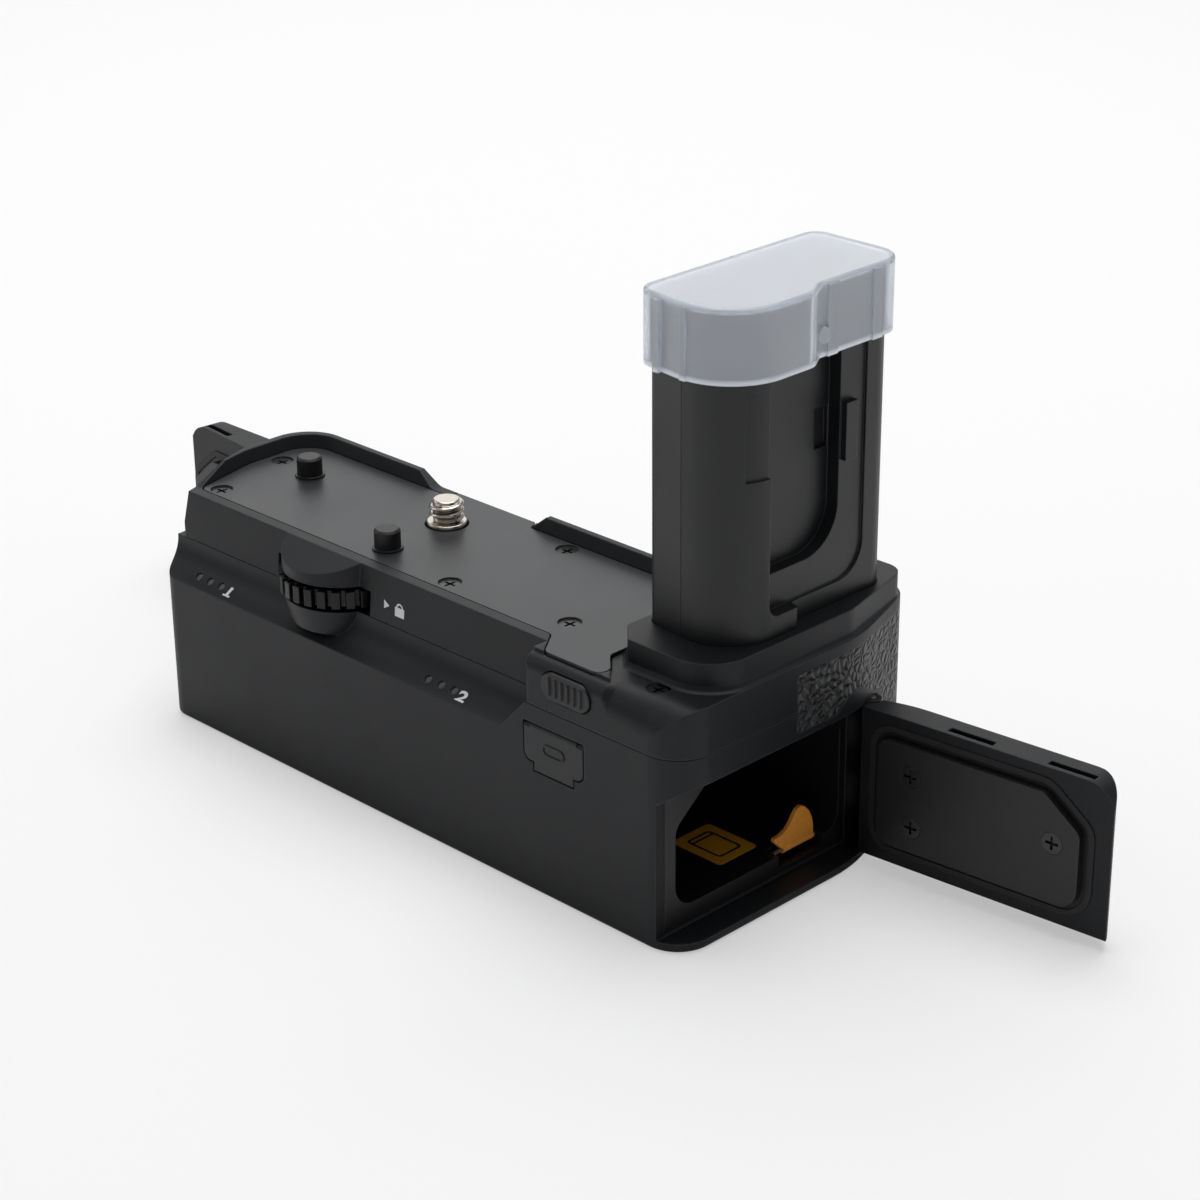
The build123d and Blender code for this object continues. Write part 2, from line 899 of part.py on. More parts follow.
port_outline = [
    (port_x - port_length / 2, port_z - port_height / 2),
    (port_x + port_length / 2, port_z - port_height / 2),
    (port_x + port_length / 2, port_z + port_height / 2),
    (port_x - port_length / 2, port_z + port_height / 2),
]
port_pivot_y = (port_depth - seat_gap) / 2 - near_reach
port_pivot_z = port_z + port_height / 2 - port_pivot_drop
port_rounds = [port_round, port_round, port_top_round, port_top_round]
left_hollow = along_x(
    left_mouth + wall,
    neck_end - wall,
    [
        (wall - near_reach, wall),
        (lower_back - wall, wall),
        (lower_back - wall, shoulder_height - wall / 2),
        (lower_back - 3 * wall, liner_top),
        (chamber_far, liner_top + 2 * seat_gap),
        (neck_back - wall, seam_height - wall / 2),
        (neck_back - wall, seam_height + over),
        (wall - neck_near, seam_height + over),
        (wall - neck_near, liner_top),
        (wall - near_reach, liner_top - over),
    ],
)
right_hollow = lower_plan(wall, seam_height + over, wall) & box(
    (block_start + wall, right_mouth - wall), (-near_reach, grip_back), (0, seam_height + over)
)
middle_hollow = lower_plan(wall, liner_top, wall) & box(
    (neck_end - wall, block_start + wall), (-near_reach, grip_back), (0, liner_top)
)
middle_upper = box(
    (neck_end - wall, block_start + wall), (wall - neck_near, neck_back - wall), (liner_top - over, seam_height + over)
)
mouth_openings = [
    box(x_ends, (wall - near_reach, flange_far + seat_gap), (wall, flange_top + seat_gap))
    for x_ends in ((right_mouth - wall - over, right_mouth + over), (left_mouth - over, left_mouth + wall + over))
]
shoulder = along_x(
    far_left,
    neck_end,
    [
        (lower_back, shoulder_height),
        (neck_back, seam_height),
        (neck_back, seam_height + over),
        (lower_back + over, seam_height + over),
        (lower_back + over, shoulder_height),
    ],
)
port_recess = along_y(-near_reach - over, port_depth - near_reach, port_outline, port_rounds)
port_lip_space = box(
    (port_x - port_lip_length / 2 - port_gap, port_x + port_lip_length / 2 + port_gap),
    (-near_reach - over, port_lip_depth - near_reach),
    (port_z - port_height / 2 - port_lip_height - port_gap, port_z - port_height / 2 + port_gap),
)
socket_hole = box(
    (port_x - socket_length / 2 - seat_gap, port_x + socket_length / 2 + seat_gap),
    (-near_reach, wall - near_reach + over),
    (board_low - socket_height - seat_gap, board_low + seat_gap),
)
panel_over = right_recess_top + panel_over_door
panel_peak = right_recess_top + panel_over_hinge
panel_edge = [
    (panel_near, panel_over),
    (panel_near, seam_height + panel_rise),
    (grip_back + over, seam_height + panel_rise),
    (grip_back + over, panel_low),
    (panel_hinge_columns[4], panel_low),
    (panel_hinge_columns[4], right_recess_top),
    (panel_hinge_columns[3], panel_over),
    (panel_hinge_columns[2], panel_peak),
    (panel_hinge_columns[1], panel_peak),
    (panel_hinge_columns[0], panel_over),
]
panel_space = along_x(panel_left, right_reach + over, panel_edge, panel_rounds)

with BuildPart() as lower_casing:
    add(lower_plan(0, seam_height))
    fillet(lower_casing.faces().sort_by(Axis.Z)[0].edges(), radius=base_edge)
    add(near_cove(), mode=Mode.SUBTRACT)
    add(boss_below_wheel())
    add(shoulder, mode=Mode.SUBTRACT)
    for hollow in [left_hollow, right_hollow, middle_hollow, middle_upper] + mouth_openings:
        add(hollow, mode=Mode.SUBTRACT)
    add(right_door_space(right_mouth, right_reach + over), mode=Mode.SUBTRACT)
    add(left_door_space(far_left, left_mouth), mode=Mode.SUBTRACT)
    right_web = (right_axis[0] - knuckle_radius, right_axis[0] - knuckle_radius / 2)
    left_web = (left_axis[0] + knuckle_radius / 2, left_axis[0] + knuckle_radius)
    for barrel in hinge_barrels(right_axis, right_recess_top, right_web, right_recess_far):
        add(barrel)
    for barrel in hinge_barrels(left_axis, left_hinge_top, left_web, left_recess_far):
        add(barrel)
    add(post(right_axis, knuckle_pin_radius, recess_low, right_recess_top), mode=Mode.SUBTRACT)
    add(post(left_axis, knuckle_pin_radius, recess_low, left_hinge_top), mode=Mode.SUBTRACT)
    add(port_recess, mode=Mode.SUBTRACT)
    add(port_lip_space, mode=Mode.SUBTRACT)
    add(port_pivots(port_pivot_radius + pin_gap, port_gap), mode=Mode.SUBTRACT)
    add(socket_hole, mode=Mode.SUBTRACT)
    add(panel_space - lower_plan(0, seam_height + over, panel_thickness), mode=Mode.SUBTRACT)
    add(post(tripod_place, tripod_barrel_radius, -over, wall + over), mode=Mode.SUBTRACT)
    for place in base_screw_places:
        add(screw_hole(upward(place, 0), wall + over, screw_sink), mode=Mode.SUBTRACT)
    for x in light_places():
        add(rod(light_base(x).offset(-over), light_radius, light_length + 2 * over), mode=Mode.SUBTRACT)
write(lower_casing.part, "lower_casing")


# Upper casing: the neck under the camera, the right block, the rims and the tower's seat


def plate_solid(low, high, inset=0):
    """The top plate's outline, with its tab over the right block."""
    corners = [
        (plate_left_near, plate_near),
        (plate_tab_left, plate_near),
        (plate_tab_left + plate_tab_lean, plate_tab_near),
        (plate_tab_right, plate_tab_near),
        (plate_right, plate_tab_near + plate_tab_end),
        (plate_right, plate_back),
        (plate_middle_right, plate_back),
        (plate_middle_right - plate_jog, neck_back),
        (plate_middle_left + plate_jog, neck_back),
        (plate_middle_left, plate_back),
        (plate_left_far, plate_back),
        (plate_left_far, plate_left_turn),
    ]
    radii = [plate_corner] * 5 + [plate_small_corner] * 5 + [plate_far_corner, plate_turn_corner]
    return along_z(low, high, corners, radii, inset)


def seat_plan(low, high, grow=0, taper=0):
    """The raised platform the tower stands in."""
    corners = [
        (seat_left, seat_front + seat_bevel),
        (seat_left + seat_bevel, seat_front),
        (seat_right, seat_front),
        (seat_right, seat_turn),
        (seat_far_right, seat_far),
        (seat_left, seat_far),
    ]
    radii = [seat_small_corner, seat_small_corner, seat_corner, seat_corner, seat_bevel, seat_small_corner]
    return along_z(low, high, corners, radii, -grow, taper)


def seat_skirt():
    """The seat with its flared foot, kept inside the casing's plan."""
    body = seat_plan(roof_height, seat_height)
    for i in range(len(flare_heights) - 1):
        low = trough_height + flare_heights[i]
        high = trough_height + flare_heights[i + 1]
        lean = math.degrees(math.atan2(flare_reaches[i] - flare_reaches[i + 1], high - low))
        body = body + seat_plan(low, high, flare_reaches[i], lean)
    limit = box((seat_left - seat_small_corner / 2, right_reach), (-near_reach, grip_back), (roof_height, seat_height))
    return body & upper_plan(roof_height, seat_height) & limit


def hood():
    """The cap over the thumb wheel, its top falling towards the photographer."""
    front = wheel_y - hood_radius - over
    slope = along_x(
        slot_left,
        slot_right,
        [
            (wall - neck_near, slot_top),
            (wall - neck_near, plate_height),
            (wall_lean - neck_near, plate_height),
            (front, plate_height - hood_drop),
            (front, slot_top),
        ],
    )
    return post((wheel_x, wheel_y), hood_radius, slot_top, plate_height) & slope


def end_slope():
    """What leans off the upper casing's near left end."""
    foot = Vector(neck_left_near, -neck_near, seam_height)
    head = Vector(neck_left_near + end_lean, wall_lean - neck_near, plate_height)
    turn = Vector(neck_left, neck_turn, rim_height)
    outwards = (head - foot).cross(turn - foot)
    base = Plane(origin=foot, x_dir=turn - foot, z_dir=outwards)
    with BuildPart() as body:
        with BuildSketch(base):
            Rectangle(2 * neck_end, 2 * neck_end)
        extrude(amount=neck_end)
    return body.part


def stadium(y_ends, grow=0, lug=0):
    """The button's outline, or its hole, through the near wall."""
    with BuildPart() as body:
        with BuildSketch(Plane.XZ.offset(-max(y_ends))):
            with Locations((button_x, button_z)):
                SlotOverall(button_length + 2 * (grow + lug), button_height + 2 * grow)
        extrude(amount=max(y_ends) - min(y_ends))
    return body.part


neck_walls = along_x(
    far_left,
    block_start + over,
    [
        (-neck_near, seam_top),
        (wall_lean - neck_near, plate_height),
        (wall_lean - neck_near, rim_height),
        (grip_back + over, rim_height),
        (grip_back + over, seam_top),
    ],
)
block_walls = box((block_start, right_reach + over), (-near_reach - over, grip_back + over), (seam_top, rim_height))
rim_dip = along_y(
    neck_back / 2,
    grip_back + over,
    [
        (rim_fall_start, rim_height),
        ((rim_fall_start + rim_fall_end) / 2, (rim_height + plate_height) / 2),
        (rim_fall_end, plate_height),
        (rim_right_start, plate_height),
        (rim_right_end, rim_height),
        (rim_right_end, rim_height + over),
        (rim_fall_start, rim_height + over),
    ],
    [0, 0, rim_bend, rim_small_bend, 0, 0, 0],
)
rim_front = along_x(
    far_left,
    block_start,
    [
        (-near_reach, plate_height),
        (rim_rise_start, plate_height),
        (rim_rise_end, rim_height),
        (rim_rise_end, rim_height + over),
        (-near_reach, rim_height + over),
    ],
    [0, rim_bend, 0, 0, 0],
)
rim_inside = along_z(
    plate_height,
    rim_height,
    [
        (plate_left_near, plate_near),
        (plate_right, plate_near),
        (plate_right, plate_back),
        (plate_left_far, plate_back),
        (plate_left_far, plate_left_turn),
    ],
    [plate_corner, plate_corner, plate_corner, plate_far_corner, plate_turn_corner],
    -plate_groove,
    -rim_lean,
)
block_top = box(
    (plate_tab_left, right_reach + over),
    (-near_reach - over, neck_back - rim_right_thickness),
    (plate_height, rim_height + over),
)
trough = along_z(
    trough_height,
    rim_height + over,
    [
        (plate_tab_right + 3 * over, -near_reach - over),
        (right_reach + over, -near_reach - over),
        (right_reach + over, grip_back + over),
        (neck_end - over, grip_back + over),
        (neck_end - over, neck_back),
        (plate_right + plate_groove, neck_back),
        (plate_right + plate_groove, plate_tab_near + plate_tab_end),
    ],
)
rounding_sections = [
    (block_start - over, block_round_begin),
    (block_round_start, block_round_begin),
    (block_round_start + block_hook, block_round_middle),
    (block_round_start + block_round_length, block_round),
    (right_reach + over, block_round),
]
with BuildPart() as block_rounding:
    for x, radius in rounding_sections:
        foot = (-near_reach, trough_height - radius)
        head = (radius - near_reach, trough_height)
        with BuildSketch(Plane.YZ.offset(x)):
            with BuildLine():
                TangentArc(foot, head, tangent=(0, 1))
                Polyline(head, (head[0], rim_height), (-near_reach - over, rim_height), (-near_reach - over, foot[1]), foot)
            make_face()
    loft(ruled=True)
button_space = box(
    (button_x - button_length / 2 - button_lug - running_gap, button_x + button_length / 2 + button_lug + running_gap),
    (skin_wall - near_reach, button_pocket - near_reach),
    (button_z - button_height / 2 - running_gap, plate_low),
)

with BuildPart() as upper_casing:
    add((upper_plan(seam_top, rim_height) & neck_walls) + (upper_plan(seam_top, rim_height) & block_walls))
    add(hood())
    add(end_slope(), mode=Mode.SUBTRACT)
    add(rim_dip, mode=Mode.SUBTRACT)
    add(rim_front, mode=Mode.SUBTRACT)
    add(rim_inside, mode=Mode.SUBTRACT)
    add(block_top, mode=Mode.SUBTRACT)
    add(plate_solid(plate_low, rim_height + over, -plate_groove), mode=Mode.SUBTRACT)
    add(trough, mode=Mode.SUBTRACT)
    add(block_rounding.part, mode=Mode.SUBTRACT)
    add(seat_skirt())
    add(upper_plan(seam_height - over, roof_height, skin_wall), mode=Mode.SUBTRACT)
    add(plate_solid(roof_height - over, plate_low + over, shelf_width), mode=Mode.SUBTRACT)
    for place in plate_screw_places:
        low = plate_low - plate_screw_length + plate_thickness
        add(post(place, screw_post_radius, low, plate_low))
        if place[1] < -screw_post_radius:
            web_near = skin_wall - neck_near - seat_gap
            add(box((place[0] - over, place[0] + over), (web_near, place[1]), (low, plate_low)))
        add(post(place, screw_shank_radius + pin_gap, low - over, plate_low + over), mode=Mode.SUBTRACT)
    add(post(trough_screw_place, screw_post_radius, trough_height - trough_screw_length, roof_height + over))
    add(screw_hole(downward(trough_screw_place, trough_height), trough_screw_length + over, screw_sink),
        mode=Mode.SUBTRACT)
    add(box((slot_left, slot_right), (-near_reach - 2 * wall, wall - neck_near), (seam_height - over, slot_top)),
        mode=Mode.SUBTRACT)
    add(tower_plan(tower_foot, seat_height + over, seat_gap), mode=Mode.SUBTRACT)
    add(tower_plan(roof_height - over, tower_foot + over, -seat_core), mode=Mode.SUBTRACT)
    add(stadium((-near_reach - over, wall - near_reach), button_gap), mode=Mode.SUBTRACT)
    add(button_space, mode=Mode.SUBTRACT)
    add(panel_space - upper_plan(0, rim_height, panel_thickness), mode=Mode.SUBTRACT)
write(upper_casing.part, "upper_casing")

# Rubber grip panel: a skin let into both casings round the back right corner
with BuildPart() as grip_panel:
    add(lower_plan(0, rim_height))
    add(lower_plan(0, rim_height, panel_thickness), mode=Mode.SUBTRACT)
    add(panel_space, mode=Mode.INTERSECT)
write(grip_panel.part, "grip_panel")

# Top plate: screwed into the neck, with holes for the camera screw and the pins
with BuildPart() as top_plate:
    add(plate_solid(plate_low, plate_height))
    add(post((0, 0), screw_hole_radius, plate_low - over, plate_height + over), mode=Mode.SUBTRACT)
    for place in locating_pin_places:
        add(post(place, locating_collar_radius, plate_low - over, plate_height + over), mode=Mode.SUBTRACT)
    for place in plate_screw_places:
        add(screw_hole(downward(place, plate_height), plate_thickness + over, screw_sink), mode=Mode.SUBTRACT)
write(top_plate.part, "top_plate")

# Plate screws, one of them outside the plate in the trough before the seat
with BuildPart() as plate_screws:
    for place in plate_screw_places:
        add(screw(downward(place, plate_height), plate_screw_length, screw_sink))
    add(screw(downward(trough_screw_place, trough_height), trough_screw_length, screw_sink))
write(plate_screws.part, "plate_screws")

# Locating pins that enter the camera's base, riveted into the top plate
with BuildPart() as locating_pins:
    for place in locating_pin_places:
        top = plate_height + locating_pin_rise
        add(post(place, locating_foot_radius, plate_low - locating_foot_rise, plate_low))
        add(post(place, locating_collar_radius, plate_low, plate_height + locating_collar_rise))
        add(post(place, locating_pin_radius, plate_height + locating_collar_rise, top - locating_pin_bevel))
        with BuildSketch(Plane.XY.offset(top - locating_pin_bevel)):
            with Locations(place):
                Circle(locating_pin_radius)
        with BuildSketch(Plane.XY.offset(top)):
            with Locations(place):
                Circle(locating_pin_radius - locating_pin_bevel)
        loft()
write(locating_pins.part, "locating_pins")

# Tripod socket in the base, between the two chambers
with BuildPart() as tripod_socket:
    add(post(tripod_place, tripod_barrel_radius, 0, wall))
    add(post(tripod_place, tripod_flange_radius, wall, tripod_top))
    add(post(tripod_place, thread_radius, -over, tripod_top + over), mode=Mode.SUBTRACT)
write(tripod_socket.part, "tripod_socket")

# Base screws
screw_set("base_screws", [upward(place, 0) for place in base_screw_places], base_screw_length, screw_sink)


# Battery chambers: a thin liner with a flange at its mouth and feet on the floor


def chamber_liner(name, mouth, inner, way, rests):
    """One liner with its feet, its mouth's flange and the window of its catch."""
    x_low, x_high = sorted((mouth, inner))
    feet = [place for place in base_screw_places if x_low < place[0] < x_high]
    window = box(
        (catch_pivot(mouth, way) - way * (catch_barrel_radius + running_gap), mouth + way * over),
        (catch_low_y - catch_window_gap, catch_high_y + catch_window_gap),
        (liner_low - over, chamber_low + over),
    )
    with BuildPart() as liner:
        add(chamber((x_low, x_high), liner_wall))
        add(box((mouth - way * flange, mouth), (wall - near_reach + seat_gap, flange_far), (wall, flange_top)))
        for place in feet:
            add(post(place, screw_post_radius, wall, liner_low + seat_gap))
        for place in rests:
            add(post(place, screw_post_radius, liner_top - seat_gap, board_low))
        add(chamber((x_low - over, x_high + over)), mode=Mode.SUBTRACT)
        for place in feet:
            add(post(place, screw_shank_radius + pin_gap, 0, base_screw_length + pin_gap), mode=Mode.SUBTRACT)
        for place in rests:
            low = board_top - board_screw_length
            add(post(place, screw_shank_radius + pin_gap, low - pin_gap, board_low + over), mode=Mode.SUBTRACT)
        add(window, mode=Mode.SUBTRACT)
        add(rod(catch_pin_base(mouth, way), catch_pin_radius, catch_pin_length), mode=Mode.SUBTRACT)
    write(liner.part, name)


right_split = chamber_split + seat_gap
left_split = chamber_split - seat_gap
chamber_liner("battery_chamber_right", right_mouth, right_split, 1, board_screw_places)
chamber_liner("battery_chamber_left", left_mouth, left_split, -1, [])


# Battery catches: an orange leaf in each mouth that folds outwards on a pin


def battery_catch(name, mouth, way):
    """One leaf with its barrel on the pivot pin."""
    pivot = catch_pivot(mouth, way)
    outline = [(catch_foot_y, catch_pivot_height)] + catch_leaf + [(catch_high_y, catch_pivot_height)]
    barrel_base = Plane(origin=(pivot, catch_foot_y, catch_pivot_height), z_dir=(0, 1, 0))
    bore_base = barrel_base.offset(-over)
    length = catch_high_y - catch_foot_y
    with BuildPart() as catch:
        add(along_x(pivot - catch_thickness / 2, pivot + catch_thickness / 2, outline, catch_rounds))
        add(rod(barrel_base, catch_barrel_radius, length))
        add(rod(bore_base, catch_pin_radius + pin_gap, length + 2 * over), mode=Mode.SUBTRACT)
    write(catch.part, name)


battery_catch("right_battery_catch", right_mouth, 1)
battery_catch("left_battery_catch", left_mouth, -1)

# Pins the two catches turn on
with BuildPart() as catch_pins:
    for mouth, way in ((right_mouth, 1), (left_mouth, -1)):
        add(rod(catch_pin_base(mouth, way), catch_pin_radius, catch_pin_length))
write(catch_pins.part, "catch_pins")


# Contact blocks at the chambers' inner ends, with their spring blades


def blade_roots(end, split, way, gap):
    """The slots that hold the blades, or with no gap the blades' roots."""
    roots = []
    for i in range(blade_count):
        y = blade_y + blade_pitch * i
        roots.append(box(
            (end - way * (abs(end - split) / 2), end),
            (y - blade_thickness / 2 - gap, y + blade_thickness / 2 + gap),
            (blade_low - gap, blade_low + blade_height + gap),
        ))
    return roots


def contact_block(name, end, split, way):
    """A block that closes one chamber's inner end."""
    with BuildPart() as body:
        add(chamber((end, split), -contact_gap))
        for root in blade_roots(end, split, way, pin_gap):
            add(root, mode=Mode.SUBTRACT)
    write(body.part, name)


def contact_blades(name, end, split, way):
    """The blades of one chamber."""
    with BuildPart() as body:
        for root in blade_roots(end, split, way, 0):
            add(root)
        for i in range(blade_count):
            y = blade_y + blade_pitch * i
            add(box((end, end + way * blade_reach), (y - blade_thickness / 2, y + blade_thickness / 2),
                    (blade_low, blade_low + blade_height)))
    write(body.part, name)


contact_block("contact_block_right", right_battery_end, right_split, 1)
contact_block("contact_block_left", left_battery_end, left_split, -1)
contact_blades("contact_blades_right", right_battery_end, right_split, 1)
contact_blades("contact_blades_left", left_battery_end, left_split, -1)

# Labels on the chamber floors that show which way the battery goes
with BuildPart() as chamber_labels:
    for mouth, way in ((right_mouth, 1), (left_mouth, -1)):
        with BuildSketch(Plane.XY.offset(chamber_low)):
            with Locations((mouth - way * (label_inset + label_length / 2), label_y)):
                RectangleRounded(label_length, label_width, label_corner)
        extrude(amount=label_thickness)
write(chamber_labels.part, "chamber_labels")


# Doors: modelled shut, then turned open on their hinges


def turn_open(part, axis, way):
    """Turns a shut door's piece to where it rests."""
    return part.rotate(Axis((axis[0], axis[1], 0), (0, 0, 1)), way * open_angle)


def door_face(mouth, way):
    """The plane of the shut door's inner face, in X."""
    return mouth + way * running_gap


def latch_bodies(face, way, top, claw_ends, gap):
    """Channels for the latch's claws and bar, or with no gap the claws and bar."""
    inner = face + way * (latch_bar_inset - gap)
    outer = face + way * (latch_bar_inset + latch_bar_depth + gap)
    travel = latch_travel if gap else 0
    length = claw_slot_length - latch_travel
    near = min(claw_ends) - length
    bodies = [box((inner, outer), (near - gap, max(claw_ends) + travel + gap), (latch_bar_low - gap, latch_bar_high + gap))]
    for far in claw_ends:
        bodies.append(box((inner, outer), (far - length - gap, far + travel + gap), (latch_bar_low, top)))
    return bodies


def latch_stem(face, outer, way, gap):
    """The stem that joins the latch's knob and bar, or its slot in the skin."""
    travel = latch_travel if gap else 0
    reach = latch_stem_length / 2 + gap
    rise = latch_stem_height / 2 + gap
    return box(
        (face + way * (latch_bar_inset + latch_bar_depth / 2), outer),
        (latch_stem_y - reach, latch_stem_y + reach + travel),
        (latch_z - rise, latch_z + rise),
    )


def door_screw_base(x, way, place):
    """The plane a door screw enters, facing outwards."""
    return Plane(origin=(x, place[0], place[1]), z_dir=(way, 0, 0))


def gasket_ring(face, way, proud):
    """The seal round the inner plate, let into the door's face."""
    ends = (face - way * proud, face + way * gasket_sink)
    longer = (min(ends) - over, max(ends) + over)
    return chamber(ends, gasket_gap + gasket_width) - chamber(longer, gasket_gap)


def door_shell(name, blank, door, hinge_top, skin, outer):
    """The outer shell of one door with its half of the hinge."""
    axis, mouth, way, top, claw_ends = door
    face = door_face(mouth, way)
    with BuildPart() as shell:
        add(blank)
        for foot, head in knuckle_spans(hinge_top, 1):
            add(post(axis, knuckle_radius, foot + running_gap / 2, head - running_gap / 2))
        for foot, head in knuckle_spans(hinge_top, 0):
            low = foot - running_gap
            high = head + running_gap / 2
            add(post(axis, knuckle_radius + running_gap, low, high), mode=Mode.SUBTRACT)
        add(post(axis, knuckle_pin_radius + pin_gap, recess_low - over, top + over), mode=Mode.SUBTRACT)
        add(chamber((face - way * over, skin), -door_pocket_inset), mode=Mode.SUBTRACT)
        for place in door_screw_places:
            add(rod(door_screw_base(face, way, place), door_post_radius, abs(skin - face)))
            add(rod(door_screw_base(face - way * over, way, place), screw_shank_radius + pin_gap,
                    over + door_screw_length - inner_plate_thickness + pin_gap), mode=Mode.SUBTRACT)
        for body in latch_bodies(face, way, top + over, claw_ends, seat_gap):
            add(body, mode=Mode.SUBTRACT)
        add(latch_stem(face, outer + way * over, way, seat_gap), mode=Mode.SUBTRACT)
        add(gasket_ring(face, way, 0), mode=Mode.SUBTRACT)
    write(turn_open(shell.part, axis, way), name)


def door_gasket(name, door):
    """The seal as its own piece."""
    axis, mouth, way = door[:3]
    write(turn_open(gasket_ring(door_face(mouth, way), way, gasket_proud), axis, way), name)


def door_inner_plate(name, door):
    """The raised plate inside the door, in the shape of the battery's end."""
    axis, mouth, way = door[:3]
    face = door_face(mouth, way)
    inner = face - way * inner_plate_thickness
    with BuildPart() as plate:
        add(chamber((face, inner), -inner_plate_margin))
        for place in door_screw_places:
            add(screw_hole(door_screw_base(inner, way, place), inner_plate_thickness + over), mode=Mode.SUBTRACT)
    write(turn_open(plate.part, axis, way), name)


def door_screws(name, door):
    """The three screws of one door."""
    axis, mouth, way = door[:3]
    inner = door_face(mouth, way) - way * inner_plate_thickness
    with BuildPart() as screws:
        for place in door_screw_places:
            add(screw(door_screw_base(inner, way, place), door_screw_length))
    write(turn_open(screws.part, axis, way), name)


def door_latch(name, door, outer):
    """The sliding latch: a knob outside, a bar inside and two claws in the top edge."""
    axis, mouth, way, top, claw_ends = door
    face = door_face(mouth, way)
    knob_in = outer + way * seat_gap
    with BuildPart() as latch:
        for body in latch_bodies(face, way, top - claw_drop, claw_ends, 0):
            add(body)
        add(latch_stem(face, knob_in + way * knob_thickness / 2, way, 0))
        add(box((knob_in, knob_in + way * knob_thickness),
                (latch_stem_y - knob_length / 2, latch_stem_y + knob_length / 2),
                (latch_z - knob_height / 2, latch_z + knob_height / 2)))
    write(turn_open(latch.part, axis, way), name)


right_door_top = right_recess_top - running_gap
left_door_top = left_recess_top - running_gap
right_door = (right_axis, right_mouth, 1, right_door_top, right_claw_ends)
left_door = (left_axis, left_mouth, -1, left_door_top, left_claw_ends)
left_knob_end = left_edge(latch_stem_y + knob_length / 2 + latch_travel)
right_blank = lower_plan(0, seam_height) & right_door_space(door_face(right_mouth, 1), right_reach + over, running_gap)
right_blank = right_blank & box((right_mouth, right_reach), (-near_reach, right_axis_y - hinge_lap), (0, seam_height))
left_blank = lower_plan(0, seam_height) & left_door_space(far_left, door_face(left_mouth, -1), running_gap)
left_blank = left_blank & box((far_left, left_mouth), (-near_reach, left_axis_y - hinge_lap), (0, seam_height))
left_blank = left_blank & post(left_axis, left_axis_y + near_reach - wall - running_gap, 0, seam_height)
left_blank = left_blank - box(
    (far_left, left_mouth), (left_axis_y - left_door_notch, left_axis_y), (left_hinge_top - running_gap, left_recess_top)
)

door_shell("right_door_shell", right_blank, right_door, right_recess_top, right_reach - door_skin, right_reach)
door_shell("left_door_shell", left_blank, left_door, left_hinge_top, left_edge(chamber_near) + door_skin, left_knob_end)
for side, door in (("right", right_door), ("left", left_door)):
    door_inner_plate(f"{side}_door_plate", door)
    door_gasket(f"{side}_door_gasket", door)
    door_screws(f"{side}_door_screws", door)
door_latch("right_door_latch", right_door, right_reach)
door_latch("left_door_latch", left_door, left_knob_end)

# Hinge pins
with BuildPart() as hinge_pins:
    add(post(right_axis, knuckle_pin_radius, recess_low, right_recess_top))
    add(post(left_axis, knuckle_pin_radius, recess_low, left_hinge_top))
write(hinge_pins.part, "hinge_pins")


# Drive of the camera screw: a toothed thumb wheel turns a smaller gear on the screw


def gear_blank(centre, teeth, turn, shares):
    """A toothed disc with one tooth along the given angle, its foot and tip in shares of the pitch."""
    foot_share, tip_share = shares
    pitch_radius = gear_module * teeth / 2
    tip = pitch_radius + tooth_rise_share * gear_module
    root = pitch_radius - tooth_root_share * gear_module
    shape = ((-foot_share, root), (-tip_share, tip), (tip_share, tip), (foot_share, root))
    corners = []
    for i in range(teeth):
        for share, radius in shape:
            angle = math.radians(turn + 360 / teeth * (i + share))
            corners.append((centre[0] + radius * math.cos(angle), centre[1] + radius * math.sin(angle)))
    with BuildPart() as body:
        with BuildSketch(Plane.XY.offset(wheel_low)):
            with BuildLine():
                Polyline(*corners, close=True)
            make_face()
        extrude(amount=wheel_thickness)
    return body.part


hub_low = wheel_low - wheel_hub_rise
hub_high = wheel_top + wheel_hub_rise
with BuildPart() as thumb_wheel:
    add(gear_blank((wheel_x, wheel_y), wheel_teeth, wheel_bearing, wheel_tooth_shares))
    add(post((wheel_x, wheel_y), wheel_hub_radius, hub_low, hub_high))
    add(post((wheel_x, wheel_y), wheel_axle_radius + pin_gap, hub_low - over, hub_high + over), mode=Mode.SUBTRACT)
write(thumb_wheel.part, "thumb_wheel")

with BuildPart() as wheel_axle:
    add(post((wheel_x, wheel_y), wheel_axle_radius, bearing_plate_low, wheel_axle_top))
write(wheel_axle.part, "wheel_axle")

with BuildPart() as screw_gear:
    add(gear_blank((0, 0), screw_teeth, wheel_bearing + 180 + 180 / screw_teeth, gear_tooth_shares))
    add(post((0, 0), gear_hub_radius, hub_low, hub_high))
    add(post((0, 0), journal_radius, hub_low - over, hub_high + over), mode=Mode.SUBTRACT)
write(screw_gear.part, "screw_gear")

# Camera screw with its flange and the journal the gear sits on
with BuildPart() as camera_screw:
    add(post((0, 0), journal_radius, journal_foot, screw_flange_low))
    add(post((0, 0), screw_flange_radius, screw_flange_low, screw_flange_high))
    add(post((0, 0), thread_radius, screw_flange_high, thread_top - thread_bevel))
    with BuildSketch(Plane.XY.offset(thread_top - thread_bevel)):
        Circle(thread_radius)
    with BuildSketch(Plane.XY.offset(thread_top)):
        Circle(thread_radius - thread_bevel)
    loft()
write(camera_screw.part, "camera_screw")

